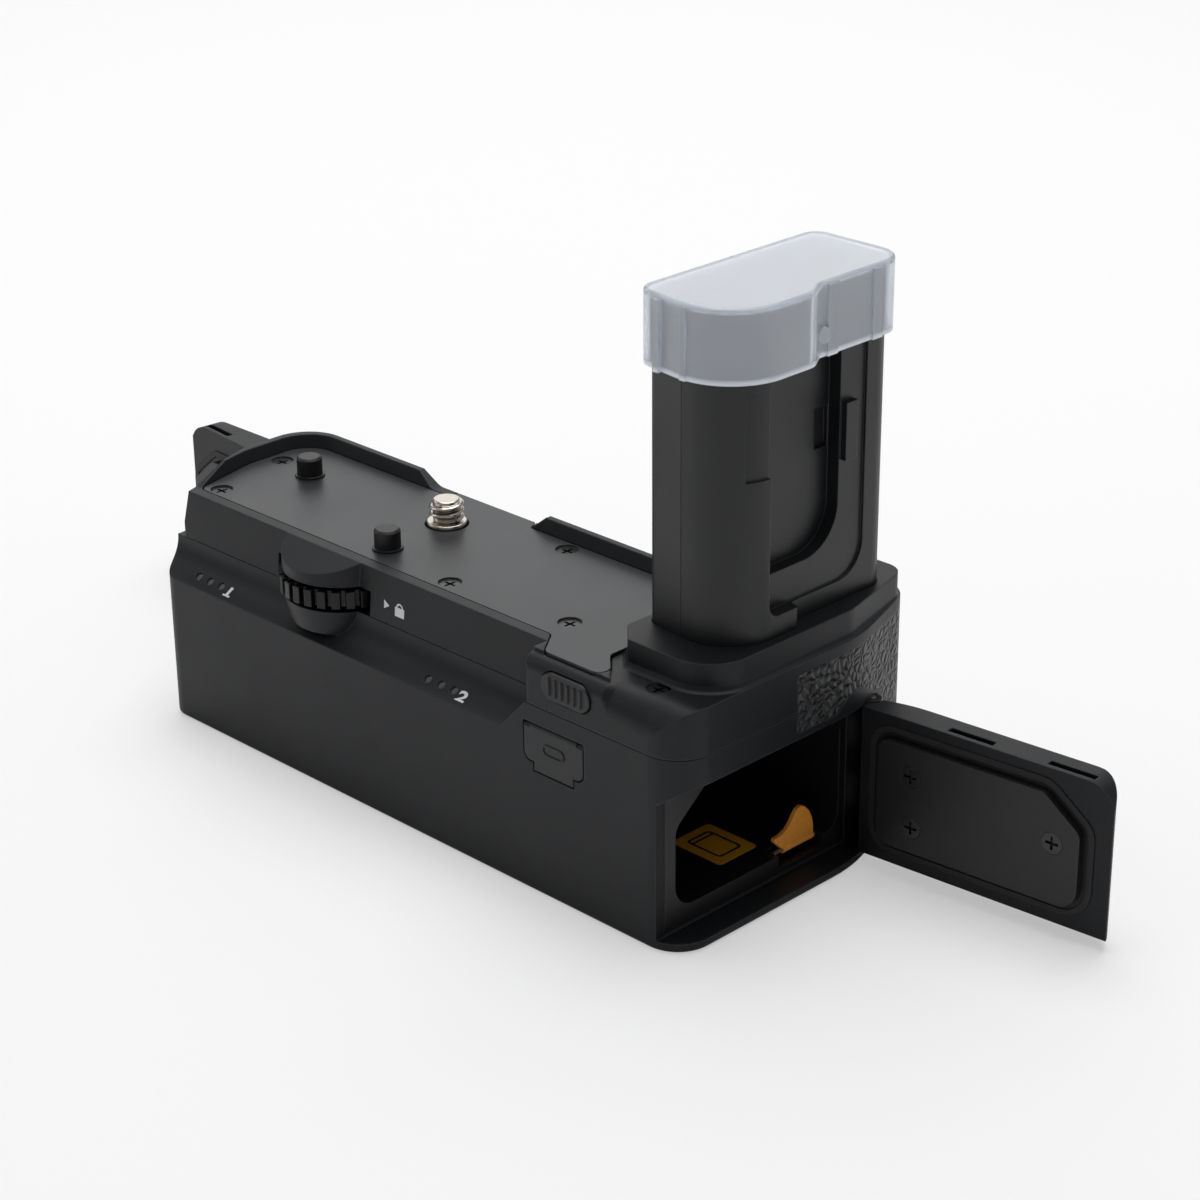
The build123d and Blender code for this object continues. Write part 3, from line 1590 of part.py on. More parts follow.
# Bearing plate under the gears, standing on the left chamber
plate_middle = ((bearing_plate_left + bearing_plate_right) / 2, (bearing_plate_near + bearing_plate_far) / 2)
with BuildPart() as bearing_plate:
    with BuildSketch(Plane.XY.offset(bearing_plate_low)):
        with Locations(plate_middle):
            RectangleRounded(bearing_plate_right - bearing_plate_left, bearing_plate_far - bearing_plate_near,
                             bearing_plate_corner)
    extrude(amount=bearing_plate_thickness)
    for place in bearing_screw_places:
        add(post(place, screw_post_radius, liner_top, bearing_plate_low + seat_gap))
    add(post((0, 0), bush_radius, bearing_plate_low - over, bearing_plate_top + over), mode=Mode.SUBTRACT)
    add(post((wheel_x, wheel_y), wheel_axle_radius, bearing_plate_low - over, bearing_plate_top + over),
        mode=Mode.SUBTRACT)
    for place in bearing_screw_places:
        add(screw_hole(downward(place, bearing_plate_top), bearing_screw_length + pin_gap), mode=Mode.SUBTRACT)
write(bearing_plate.part, "bearing_plate")

screw_set("bearing_screws", [downward(place, bearing_plate_top) for place in bearing_screw_places], bearing_screw_length)

with BuildPart() as screw_bush:
    add(post((0, 0), bush_radius, bearing_plate_low - bush_drop, bearing_plate_top + bush_rise))
    add(post((0, 0), journal_radius + pin_gap, bearing_plate_low - over, bearing_plate_top + 2 * over),
        mode=Mode.SUBTRACT)
write(screw_bush.part, "screw_bush")

# Check button: a ribbed stadium in the near wall of the right block
with BuildPart() as check_button:
    add(stadium((-near_reach - button_proud, button_depth - near_reach)))
    lug_near = skin_wall - near_reach + seat_gap
    add(stadium((lug_near, lug_near + button_lug_depth), 0, button_lug))
    for i in range(button_ribs):
        x = button_x + button_rib_pitch * (i - (button_ribs - 1) / 2)
        add(box((x - button_rib_width / 2, x + button_rib_width / 2),
                (-near_reach - button_proud - button_rib_proud, -near_reach),
                (button_z - button_rib_height / 2, button_z + button_rib_height / 2)))
write(check_button.part, "check_button")

# Port cover: a flap on two trunnions with a lip for the finger
cover_back = port_depth - near_reach - seat_gap
with BuildPart() as port_cover:
    add(prism(Plane.XZ.offset(-cover_back), port_outline, port_rounds, cover_back + near_reach, port_gap))
    add(box((port_x - port_length, port_x + port_length), (-near_reach, cover_back),
            (port_pivot_z, port_z + port_height)), mode=Mode.SUBTRACT)
    pivot_base = Plane(origin=(port_x - port_length / 2 + port_round, port_pivot_y, port_pivot_z), z_dir=(1, 0, 0))
    add(rod(pivot_base, (port_depth - seat_gap) / 2, port_length - 2 * port_round))
    add(box((port_x - port_lip_length / 2, port_x + port_lip_length / 2),
            (-near_reach, port_lip_depth - near_reach - seat_gap),
            (port_z - port_height / 2 - port_lip_height, port_z - port_height / 2 + over)))
    add(port_pivots(port_pivot_radius, 0))
write(port_cover.part, "port_cover")

# Charging socket behind the cover, hung under the circuit board
with BuildPart() as charging_socket:
    near = port_depth - near_reach + seat_gap
    low = board_low - socket_height
    left = port_x - socket_length / 2
    right = port_x + socket_length / 2
    add(box((left, right), (near, near + socket_depth), (low, board_low)))
    add(box((left + socket_wall, right - socket_wall), (near - over, near + socket_depth - socket_wall),
            (low + socket_wall, board_low - socket_wall)), mode=Mode.SUBTRACT)
    add(box((left + socket_tongue_margin, right - socket_tongue_margin), (near + socket_tongue, near + socket_depth),
            (low + (socket_height - socket_tongue) / 2, low + (socket_height + socket_tongue) / 2)))
write(charging_socket.part, "charging_socket")


# Light pipes that show as dots on the cove


def light_pipes(name, places):
    """The three pipes of one group."""
    with BuildPart() as pipes:
        for x in places:
            add(rod(light_base(x).offset(light_dish), light_radius, light_length))
    write(pipes.part, name)


light_pipes("light_pipes_left", light_places()[:light_count])
light_pipes("light_pipes_right", light_places()[light_count:])

# Circuit board with a tab towards the charging socket
with BuildPart() as circuit_board:
    add(box((board_left, board_right), (board_near, board_far), (board_low, board_top)))
    tab_left = port_x - socket_length / 2
    tab_right = port_x + socket_length / 2 + board_tab_margin
    add(box((tab_left, tab_right), (board_tab_near, board_near + over), (board_low, board_top)))
    for place in board_screw_places:
        add(screw_hole(downward(place, board_top), board_thickness + over), mode=Mode.SUBTRACT)
write(circuit_board.part, "circuit_board")

with BuildPart() as board_parts:
    for x, y, length, width, height in board_part_boxes:
        middle = board_left + x
        add(box((middle - length / 2, middle + length / 2), (y - width / 2, y + width / 2), (board_top, board_top + height)))
write(board_parts.part, "board_parts")

screw_set("board_screws", [downward(place, board_top) for place in board_screw_places], board_screw_length)


# Tower: two shells that meet on a parting plane


def tower_shell(x_ends):
    """One half of the tower's shell."""
    with BuildPart() as shell:
        add(tower_plan(tower_foot, tower_height))
        add(tower_plan(tower_foot + tower_wall, tower_height + over, -tower_wall), mode=Mode.SUBTRACT)
        add(box(x_ends, (tower_near - over, tower_far + over), (0, tower_height + over)), mode=Mode.INTERSECT)
    return shell.part


write(tower_shell((tower_left - over, tower_parting - parting_gap / 2)), "tower_left_shell")

recess_cut = along_x(
    recess_floor,
    tower_right + over,
    [
        (recess_left, recess_bottom),
        (recess_right, recess_bottom),
        (recess_right, tower_height + over),
        (recess_left, tower_height + over),
    ],
    [recess_small_round, recess_round, 0, 0],
)
recess_backing = box(
    (recess_floor - tower_wall, tower_right - tower_wall / 2),
    (recess_left - tower_wall, tower_step_y + tower_wall),
    (recess_bottom - tower_wall, tower_height),
)
pocket_cut = along_x(
    pocket_floor,
    tower_right + over,
    [
        (recess_left, pocket_bottom),
        (pocket_right, pocket_bottom),
        (pocket_right, tower_height - tower_wall),
        (recess_left, tower_height - tower_wall),
    ],
    [recess_small_round, pocket_round, recess_small_round, recess_small_round],
)
pocket_backing = box(
    (pocket_floor - tower_wall, recess_floor),
    (recess_left - tower_wall, pocket_right + tower_wall),
    (pocket_bottom - tower_wall, tower_height),
)
tongue_cut = box((tower_parting, tower_right + over), (tongue_left, recess_left + over), (tongue_bottom, tongue_top))
tongue_cut = tongue_cut - tower_plan(tower_foot, tower_height, -tongue_depth)
with BuildPart() as tower_right_shell:
    add(tower_shell((tower_parting + parting_gap / 2, tower_right + over)))
    add(recess_backing & tower_plan(tower_foot, tower_height))
    add(pocket_backing)
    add(recess_cut, mode=Mode.SUBTRACT)
    add(pocket_cut, mode=Mode.SUBTRACT)
    add(tongue_cut, mode=Mode.SUBTRACT)
    add(box((pocket_floor - slot_depth, pocket_floor + over), (slot_low_y, slot_high_y), (slot_low_z, slot_high_z)),
        mode=Mode.SUBTRACT)
    add(box((recess_floor - tower_wall, recess_floor + bump_proud), (bump_left, bump_right), (bump_bottom, bump_top)))
write(tower_right_shell.part, "tower_right_shell")


def tower_slots(gap, high):
    """Slots for the tower's contact blades, or the blades."""
    slots = []
    for i in range(tower_slot_count):
        y = tower_slot_y + tower_slot_pitch * i
        reach = tower_slot_length / 2 - gap
        half = tower_slot_width / 2 - gap
        slots.append(box((tower_slot_x - reach, tower_slot_x + reach), (y - half, y + half),
                         (block_top_z - tower_slot_depth, high)))
    return slots


with BuildPart() as tower_contact_block:
    add(tower_plan(tower_height - contact_block_depth, tower_height, -tower_wall - seat_gap))
    add(tower_plan(tower_height, block_top_z, -seat_gap))
    add(box((pocket_floor - tower_wall - seat_gap, tower_right),
            (recess_left - tower_wall - seat_gap, pocket_right + tower_wall + seat_gap),
            (pocket_bottom, tower_height)), mode=Mode.SUBTRACT)
    for slot in tower_slots(0, block_top_z + over):
        add(slot, mode=Mode.SUBTRACT)
write(tower_contact_block.part, "tower_contact_block")

with BuildPart() as tower_contact_blades:
    for blade in tower_slots((tower_slot_width - blade_thickness) / 2, block_top_z - tower_slot_width / 2):
        add(blade)
write(tower_contact_blades.part, "tower_contact_blades")

# Cap over the tower's contacts, a clear plastic cover that lifts off
cap_grow = cap_fit + cap_wall
rib_top = cap_top - cap_round
with BuildPart() as tower_cap:
    add(cap_plan(cap_bottom, cap_top, cap_grow))
    fillet(tower_cap.faces().sort_by(Axis.Z)[-1].edges(), radius=cap_round)
    for y in cap_left_ribs:
        add(box((tower_left - cap_grow - cap_rib_proud, tower_left), (y, y + cap_rib_width), (cap_bottom, rib_top)))
    for step in cap_near_ribs:
        x = tower_left + step
        add(box((x, x + cap_rib_width), (tower_near - cap_grow - cap_rib_proud, tower_near), (cap_bottom, rib_top)))
    cap_side = tower_right - tower_step_x + cap_grow + cap_rib_proud
    for y in cap_right_ribs:
        add(box((cap_side - cap_grow, cap_side), (y, y + 2 * cap_rib_width), (cap_bottom, rib_top)))
    add(cap_plan(cap_bottom - over, block_top_z + running_gap, cap_fit), mode=Mode.SUBTRACT)
write(tower_cap.part, "tower_cap")
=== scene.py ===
import math

import bmesh
import bpy
from mathutils import Matrix, Vector


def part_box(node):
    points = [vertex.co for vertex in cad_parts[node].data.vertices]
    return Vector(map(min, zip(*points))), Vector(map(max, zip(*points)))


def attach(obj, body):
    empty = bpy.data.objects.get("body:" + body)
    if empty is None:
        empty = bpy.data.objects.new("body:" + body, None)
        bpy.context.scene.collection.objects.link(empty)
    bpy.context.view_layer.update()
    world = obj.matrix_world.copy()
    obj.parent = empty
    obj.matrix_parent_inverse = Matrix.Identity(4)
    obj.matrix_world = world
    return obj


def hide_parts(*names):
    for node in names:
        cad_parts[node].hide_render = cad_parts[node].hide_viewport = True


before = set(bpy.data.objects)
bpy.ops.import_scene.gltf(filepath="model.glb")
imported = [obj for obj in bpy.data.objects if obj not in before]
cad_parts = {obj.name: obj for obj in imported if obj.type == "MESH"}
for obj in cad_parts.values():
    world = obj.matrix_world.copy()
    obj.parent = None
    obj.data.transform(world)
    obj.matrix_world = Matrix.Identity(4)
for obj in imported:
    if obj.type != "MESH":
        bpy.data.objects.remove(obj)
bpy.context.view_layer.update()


# Camera: a short telephoto lens half a metre from the grip. It looks down at the near
# right corner and is turned a hair off level.
mm = 0.001
camera_place = Vector((363.418, -322.912, 245.342)) * mm
camera_azimuth = math.radians(45.12)
camera_elevation = math.radians(24.02)
camera_roll = math.radians(-0.54)

ahead = Vector((
    -math.sin(camera_azimuth) * math.cos(camera_elevation),
    math.cos(camera_azimuth) * math.cos(camera_elevation),
    -math.sin(camera_elevation),
))
level = ahead.cross(Vector((0, 0, 1))).normalized()
upright = level.cross(ahead)
across = level * math.cos(camera_roll) + upright * math.sin(camera_roll)
above = upright * math.cos(camera_roll) - level * math.sin(camera_roll)

lens = bpy.data.cameras.new("camera")
lens.sensor_width = 36
lens.lens = 86.85
lens.clip_start = 10 * mm
camera = bpy.data.objects.new("camera", lens)
camera.matrix_world = Matrix.Translation(camera_place) @ Matrix((across, above, -ahead)).transposed().to_4x4()
bpy.context.scene.collection.objects.link(camera)
bpy.context.scene.camera = camera
bpy.context.scene.view_settings.view_transform = "Standard"


# Table: a sheet of white paper that runs on behind the grip. It is matt and takes only
# soft shadows. The camera sees it paler than it lights the grip, as in a bright studio.
paper_reach = 4000 * mm
fibre_size = 1.111 * mm
nap_depth = 0.1 * mm
pale_share = 0.45


def colour(hexadecimal):
    """An sRGB hex colour as linear red, green, blue and alpha."""
    parts = [int(hexadecimal[i:i + 2], 16) / 255 for i in (1, 3, 5)]
    return tuple(p / 12.92 if p <= 0.04045 else ((p + 0.055) / 1.055) ** 2.4 for p in parts) + (1.0,)


def add(tree, kind, inputs={}, **settings):
    """Adds a node. An input, by name or number, takes a value or another node's output."""
    made = tree.nodes.new(kind)
    for name, value in settings.items():
        setattr(made, name, value)
    for name, value in inputs.items():
        if isinstance(value, bpy.types.NodeSocket):
            tree.links.new(value, made.inputs[name])
        else:
            made.inputs[name].default_value = value
    return made


def start(name):
    """A new material and its empty tree."""
    material = bpy.data.materials.new(name)
    material.use_nodes = True
    material.node_tree.nodes.clear()
    return material, material.node_tree


def make(name, draw, material, *places):
    """A finished object from a function that draws its mesh in place."""
    shape = bmesh.new()
    draw(shape, *places)
    mesh = bpy.data.meshes.new(name)
    shape.to_mesh(mesh)
    shape.free()
    mesh.materials.append(material)
    made = bpy.data.objects.new(name, mesh)
    bpy.context.scene.collection.objects.link(made)
    return made


paper, tree = start("matt_paper")
fibres = add(tree, "ShaderNodeTexNoise", {
    "Vector": add(tree, "ShaderNodeTexCoord").outputs["Object"],
    "Scale": 1 / fibre_size,
})
nap = add(tree, "ShaderNodeBump", {"Height": fibres.outputs["Fac"], "Strength": 0.02, "Distance": nap_depth})
sheet = add(tree, "ShaderNodeBsdfPrincipled", {
    "Base Color": colour("#F6F6F7"),
    "Roughness": 0.9,
    "Specular IOR Level": 0.1,
    "Normal": nap.outputs["Normal"],
})
glow = add(tree, "ShaderNodeEmission", {"Color": colour("#FBFBFC"), "Strength": 1.0})
share = add(tree, "ShaderNodeMath", {
    0: add(tree, "ShaderNodeLightPath").outputs["Is Camera Ray"],
    1: pale_share,
}, operation="MULTIPLY")
pale = add(tree, "ShaderNodeMixShader", {
    0: share.outputs[0],
    1: sheet.outputs["BSDF"],
    2: glow.outputs["Emission"],
})
add(tree, "ShaderNodeOutputMaterial", {"Surface": pale.outputs["Shader"]})


def draw_table(shape):
    bmesh.ops.create_grid(shape, x_segments=1, y_segments=1, size=paper_reach)


table = make("table", draw_table, paper)


# Studio light: a large soft lamp overhead and one low behind the grip, which puts a sheen
# on its top, with weak lamps at the sides. They stand in a white tent that lights weakly.
# Where the camera sees the tent, also through a clear piece, it is at full white.
tent_strength = 0.27
backdrop_strength = 1.0

for name, place, target, size, power in (
    ("lamp_overhead", (-0.15, 0.25, 1.3), (0, 0, 0), 1.1, 15.0),
    ("lamp_left", (-1.1, -0.6, 0.7), (0, 0, 0.04), 0.7, 1.4),
    ("lamp_behind", (-0.95, 0.95, 0.6), (0, 0, 0.04), 0.9, 2.4),
    ("lamp_right", (1.2, 0.5, 0.6), (0.05, 0, 0.04), 0.6, 0.3),
):
    light = bpy.data.lights.new(name, "AREA")
    light.size = size
    light.energy = power
    lamp = bpy.data.objects.new(name, light)
    lamp.location = place
    lamp.rotation_euler = (Vector(target) - Vector(place)).to_track_quat("-Z", "Y").to_euler()
    bpy.context.scene.collection.objects.link(lamp)

tent = bpy.data.worlds.new("tent")
bpy.context.scene.world = tent
tent.use_nodes = True
tree = tent.node_tree
tree.nodes.clear()
rays = add(tree, "ShaderNodeLightPath")
seen = add(tree, "ShaderNodeMath", {
    0: rays.outputs["Is Camera Ray"],
    1: rays.outputs["Is Transmission Ray"],
}, operation="MAXIMUM")
cloth = add(tree, "ShaderNodeBackground", {"Color": colour("#FFFFFF"), "Strength": tent_strength})
backdrop = add(tree, "ShaderNodeBackground", {"Color": colour("#FAFAFA"), "Strength": backdrop_strength})
tent_light = add(tree, "ShaderNodeMixShader", {
    0: seen.outputs[0],
    1: cloth.outputs["Background"],
    2: backdrop.outputs["Background"],
})
add(tree, "ShaderNodeOutputWorld", {"Surface": tent_light.outputs["Shader"]})


# Lower casing: an injection moulded polycarbonate tub, closed from above. Its mould is
# spark eroded, which leaves a fine matt grain that shows as a faint sparkle. The grain
# is drawn a little coarser than it is, so that it shows.
handled_patch = 14 * mm
patch_gloss = 0.05
grain_dark = 0.8
grain_light = 1.2
edge_starts = 0.99
edge_ends = 0.8
# How much lighter the painted edge highlight is than the surface's own tone.
edge_highlight_lightening = 9.0


def shade(tone, factor):
    """A colour made lighter or darker in linear light."""
    return tuple(factor * c for c in colour(tone)[:3]) + (1.0,)


def grained(name, tone, roughness, grain_mm, depth_mm, edge_mm, specular=0.5, edge_highlight=0.0):
    """A dull surface with a fine grain and softened edges, and a painted highlight along the edges where one
    is asked for.
    """
    material, tree = start(name)
    place = add(tree, "ShaderNodeTexCoord").outputs["Object"]
    grain = add(tree, "ShaderNodeTexNoise", {"Vector": place, "Scale": 1 / (grain_mm * mm), "Detail": 3.0})
    patch = add(tree, "ShaderNodeTexNoise", {"Vector": place, "Scale": 1 / handled_patch, "Detail": 2.0})
    gloss = add(tree, "ShaderNodeMapRange", {
        "Value": patch.outputs["Fac"],
        "To Min": roughness - patch_gloss,
        "To Max": roughness + patch_gloss,
    })
    soft_edge = add(tree, "ShaderNodeBevel", {"Radius": edge_mm * mm}, samples=4)
    relief = add(tree, "ShaderNodeBump", {
        "Height": grain.outputs["Fac"],
        "Normal": soft_edge.outputs["Normal"],
        "Strength": 1.0,
        "Distance": depth_mm * mm,
    })
    speckle = add(tree, "ShaderNodeMixRGB", {
        "Fac": grain.outputs["Fac"],
        "Color1": shade(tone, grain_dark),
        "Color2": shade(tone, grain_light),
    })
    # Painted highlight: the colour is lightened along every edge, where the softened normal turns away from
    # the face's own, to stand in for light that the edges catch.
    flatness = add(tree, "ShaderNodeVectorMath", {
        0: soft_edge.outputs["Normal"],
        1: add(tree, "ShaderNodeNewGeometry").outputs["Normal"],
    }, operation="DOT_PRODUCT")
    painted_highlight_mask = add(tree, "ShaderNodeMapRange", {
        "Value": flatness.outputs["Value"],
        "From Min": edge_starts,
        "From Max": edge_ends,
        "To Max": edge_highlight,
    })
    edge_highlighted_colour = add(tree, "ShaderNodeMixRGB", {
        "Fac": painted_highlight_mask.outputs["Result"],
        "Color1": speckle.outputs["Color"],
        "Color2": shade(tone, edge_highlight_lightening),
    })
    surface = add(tree, "ShaderNodeBsdfPrincipled", {
        "Base Color": edge_highlighted_colour.outputs["Color"],
        "Roughness": gloss.outputs["Result"],
        "Specular IOR Level": specular,
        "Normal": relief.outputs["Normal"],
    })
    add(tree, "ShaderNodeOutputMaterial", {"Surface": surface.outputs["BSDF"]})
    return material


def dress(material, *nodes):
    """Gives CAD nodes a material."""
    for node in nodes:
        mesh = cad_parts[node].data
        mesh.materials.clear()
        mesh.materials.append(material)


# The casing's edges carry a painted highlight: their colour is lightened where the surface turns.
casing_plastic = grained("spark_eroded_polycarbonate", "#131518", roughness=0.46, grain_mm=0.35,
                         depth_mm=0.016, edge_mm=0.4, specular=0.3, edge_highlight=0.8)
dress(casing_plastic, "lower_casing")


# Upper casing: the lid of the tub with the wheel's hood, the raised rims and the seat
# of the tower, moulded from the same plastic and screwed down on the tub.
dress(casing_plastic, "upper_casing")


# Grip panel: a sheet of natural rubber pressed with a leather pattern and glued into a
# recess that both casings share. Its creases carry painted shade and its pebbles are a little glossy.
pebble = 1.7 * mm
wander_size = 2.5 * mm
wander_share = 0.0012
crease_reach = 0.34
pore = 0.3 * mm
pore_share = 0.25
leather_depth = 0.5 * mm

rubber, tree = start("leather_pressed_rubber")
place = add(tree, "ShaderNodeTexCoord").outputs["Object"]
wander = add(tree, "ShaderNodeTexNoise", {"Vector": place, "Scale": 1 / wander_size, "Detail": 2.0})
bent = add(tree, "ShaderNodeMixRGB", {
    "Fac": wander_share,
    "Color1": place,
    "Color2": wander.outputs["Color"],
})
pebbles = add(tree, "ShaderNodeTexVoronoi", {"Vector": bent.outputs["Color"], "Scale": 1 / pebble},
              feature="DISTANCE_TO_EDGE")
crease = add(tree, "ShaderNodeMapRange", {"Value": pebbles.outputs["Distance"], "From Max": crease_reach})
pores = add(tree, "ShaderNodeTexNoise", {"Vector": place, "Scale": 1 / pore, "Detail": 2.0})
height = add(tree, "ShaderNodeMath", {
    0: pores.outputs["Fac"],
    1: pore_share,
    2: crease.outputs["Result"],
}, operation="MULTIPLY_ADD")
relief = add(tree, "ShaderNodeBump", {
    "Height": height.outputs[0],
    "Strength": 1.0,
    "Distance": leather_depth,
})
# Painted shade: the creases are coloured darker than the pebble tops, as shade in the relief.
crease_shade_tint = add(tree, "ShaderNodeMixRGB", {
    "Fac": crease.outputs["Result"],
    "Color1": colour("#0E0F10"),
    "Color2": colour("#2A2C30"),
})
surface = add(tree, "ShaderNodeBsdfPrincipled", {
    "Base Color": crease_shade_tint.outputs["Color"],
    "Roughness": 0.4,
    "Normal": relief.outputs["Normal"],
})
add(tree, "ShaderNodeOutputMaterial", {"Surface": surface.outputs["BSDF"]})
dress(rubber, "grip_panel")


# Top plate: pressed aluminium sheet with a satin black powder coat, smoother than the
# plastic round it, so it shows the lamps a little more.
plate_coat = grained("satin_powder_coat", "#26282B", roughness=0.38, grain_mm=0.6, depth_mm=0.008,
                     edge_mm=0.2)
dress(plate_coat, "top_plate")


# Small screws: steel with a black oxide, turned and rolled, so only their edges catch
# the light.
oxide = grained("black_oxide_steel", "#0E0E10", roughness=0.33, grain_mm=0.2, depth_mm=0.004, edge_mm=0.08,
                specular=0.7)
dress(oxide, "plate_screws", "base_screws", "bearing_screws", "board_screws", "right_door_screws",
      "left_door_screws")


# Locating pins: turned steel, pressed into the plate. A dull black coat covers the
# turning marks, so they look nearly as matt as the plastic.
pin_coat = grained("dull_coated_steel", "#0F1012", roughness=0.42, grain_mm=0.3, depth_mm=0.006, edge_mm=0.2)
dress(pin_coat, "locating_pins")


# Tripod socket and screw bush: turned brass, pressed and screwed in from inside. The
# turning leaves fine rings that stretch the highlights. They are drawn coarser than
# they are, so that they show.
ring_squeeze = (0.02, 0.02, 1.0)
turned_edge = 0.1 * mm
ring_depth = 0.01 * mm
ring_gloss = -0.06
ring_dull = 0.08


def turned(name, tone, roughness, ring_mm):
    """Metal with the fine rings of a lathe."""
    material, tree = start(name)
    place = add(tree, "ShaderNodeTexCoord").outputs["Object"]
    squeezed = add(tree, "ShaderNodeMapping", {"Vector": place, "Scale": ring_squeeze})
    rings = add(tree, "ShaderNodeTexNoise", {
        "Vector": squeezed.outputs["Vector"],
        "Scale": 1 / (ring_mm * mm),
        "Detail": 2.0,
    })
    soft_edge = add(tree, "ShaderNodeBevel", {"Radius": turned_edge}, samples=4)
    relief = add(tree, "ShaderNodeBump", {
        "Height": rings.outputs["Fac"],
        "Normal": soft_edge.outputs["Normal"],
        "Strength": 0.5,
        "Distance": ring_depth,
    })
    gloss = add(tree, "ShaderNodeMapRange", {
        "Value": rings.outputs["Fac"],
        "To Min": roughness + ring_gloss,
        "To Max": roughness + ring_dull,
    })
    surface = add(tree, "ShaderNodeBsdfPrincipled", {
        "Base Color": colour(tone),
        "Metallic": 1.0,
        "Roughness": gloss.outputs["Result"],
        "Normal": relief.outputs["Normal"],
    })
    add(tree, "ShaderNodeOutputMaterial", {"Surface": surface.outputs["BSDF"]})
    return material


brass = turned("turned_brass", "#C9A45C", roughness=0.3, ring_mm=0.2)
dress(brass, "tripod_socket", "screw_bush")


# Drive steel: the axle, the hinge and catch pins and the screw's gear are plain turned
# steel, and the bearing plate and the charging socket are pressed from sheet. They are
# left bright, because the casing hides most of them.
steel = turned("turned_steel", "#B9B6B0", roughness=0.28, ring_mm=0.2)
dress(steel, "wheel_axle", "hinge_pins", "catch_pins", "screw_gear", "bearing_plate", "charging_socket")


# Battery chambers and contact blocks: moulded black ABS, set in behind the mouths.
# They are smooth without a grain, because the battery slides on them.
liner_plastic = grained("smooth_abs", "#141415", roughness=0.4, grain_mm=1.2, depth_mm=0.01, edge_mm=0.2)
dress(liner_plastic, "battery_chamber_right", "battery_chamber_left", "contact_block_right",
      "contact_block_left", "tower_contact_block")


# Contact blades: stamped phosphor bronze strip, pushed into the blocks. A thin gilding
# keeps them bright and gives the only warm glint inside.
gilt = turned("gilt_bronze", "#D9B25A", roughness=0.25, ring_mm=0.3)
dress(gilt, "contact_blades_right", "contact_blades_left", "tower_contact_blades")


# Battery catches: a hooked leaf of acetal in each mouth, moulded with the barrel that it
# turns on, and dyed orange so that the hand finds it in the dark chamber.
catch_pivots = {"right": 77.4 * mm, "left": -42.5 * mm}
catch_pivot_height = 4.9 * mm
catch_thickness = 0.9 * mm
catch_rounding = 0.12 * mm
barrel_start = 5.0 * mm
barrel_end = 12.8 * mm
barrel_radius = 0.65 * mm
quarter_turn = math.pi / 2
catch_leaf_mm = [
    (5.6, 4.9), (4.4, 5.6), (2.7, 7.3), (2.9, 7.9), (4.4, 8.0), (5.8, 8.5), (6.9, 9.4), (7.8, 10.7),
    (8.5, 11.5), (9.5, 11.8), (10.6, 11.3), (11.6, 10.2), (12.4, 8.6), (12.8, 6.8), (12.8, 4.9),
]
acetal = grained("orange_acetal", "#FFA840", roughness=0.34, grain_mm=1.0, depth_mm=0.01, edge_mm=0.15)


def thicken(shape, way):
    """Gives a flat shape its thickness along a vector."""
    raised = bmesh.ops.extrude_face_region(shape, geom=shape.faces[:])["geom"]
    verts = [item for item in raised if isinstance(item, bmesh.types.BMVert)]
    bmesh.ops.translate(shape, verts=verts, vec=way)


def round_edges(shape, edges, radius):
    """Rounds edges in two steps."""
    bmesh.ops.bevel(shape, geom=edges, offset=radius, affect="EDGES", segments=2, profile=0.5, material=-1)


def turn(shape, verts, angle, axis):
    """Turns vertices about an axis through the origin."""
    bmesh.ops.rotate(shape, verts=verts, cent=(0, 0, 0), matrix=Matrix.Rotation(angle, 3, axis))


def draw_catch(shape, pivot):
    """A catch whose pin is at the given place along the grip."""
    outline = [shape.verts.new((pivot - catch_thickness / 2, y * mm, z * mm)) for y, z in catch_leaf_mm]
    shape.faces.new(outline)
    thicken(shape, (catch_thickness, 0, 0))
    rims = [edge for edge in shape.edges
            if abs(edge.verts[0].co.x - edge.verts[1].co.x) < catch_thickness / 2]
    round_edges(shape, rims, catch_rounding)
    barrel = bmesh.ops.create_cone(shape, cap_ends=True, segments=32, radius1=barrel_radius,
                                   radius2=barrel_radius, depth=barrel_end - barrel_start)["verts"]
    turn(shape, barrel, quarter_turn, "X")
    bmesh.ops.translate(shape, verts=barrel, vec=(pivot, (barrel_start + barrel_end) / 2, catch_pivot_height))
    bmesh.ops.recalc_face_normals(shape, faces=shape.faces)


for side, pivot in catch_pivots.items():
    catch = make(f"{side}_hooked_catch", draw_catch, acetal, pivot)
    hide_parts(f"{side}_battery_catch")
    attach(catch, f"{side}_catch_body")


# Chamber labels: printed polyester film, stuck to the floor of each chamber just inside
# its mouth. It is golden yellow and glossy, with the outline of a battery in black.
label_places = {"right": (68.75 * mm, 1), "left": (-33.85 * mm, -1)}
label_middle = -2.5 * mm
label_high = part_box("chamber_labels")[1].z
battery_long = 8.0 * mm
battery_wide = 5.8 * mm
battery_rounding = 0.9 * mm
battery_line = 0.5 * mm
terminal_long = 0.9 * mm
ink_lift = 0.02 * mm

film = grained("printed_film", "#D79A1B", roughness=0.3, grain_mm=0.8, depth_mm=0.004, edge_mm=0.02)
black_ink = grained("black_ink", "#1A1408", roughness=0.5, grain_mm=0.5, depth_mm=0.002, edge_mm=0.02)
dress(film, "chamber_labels")


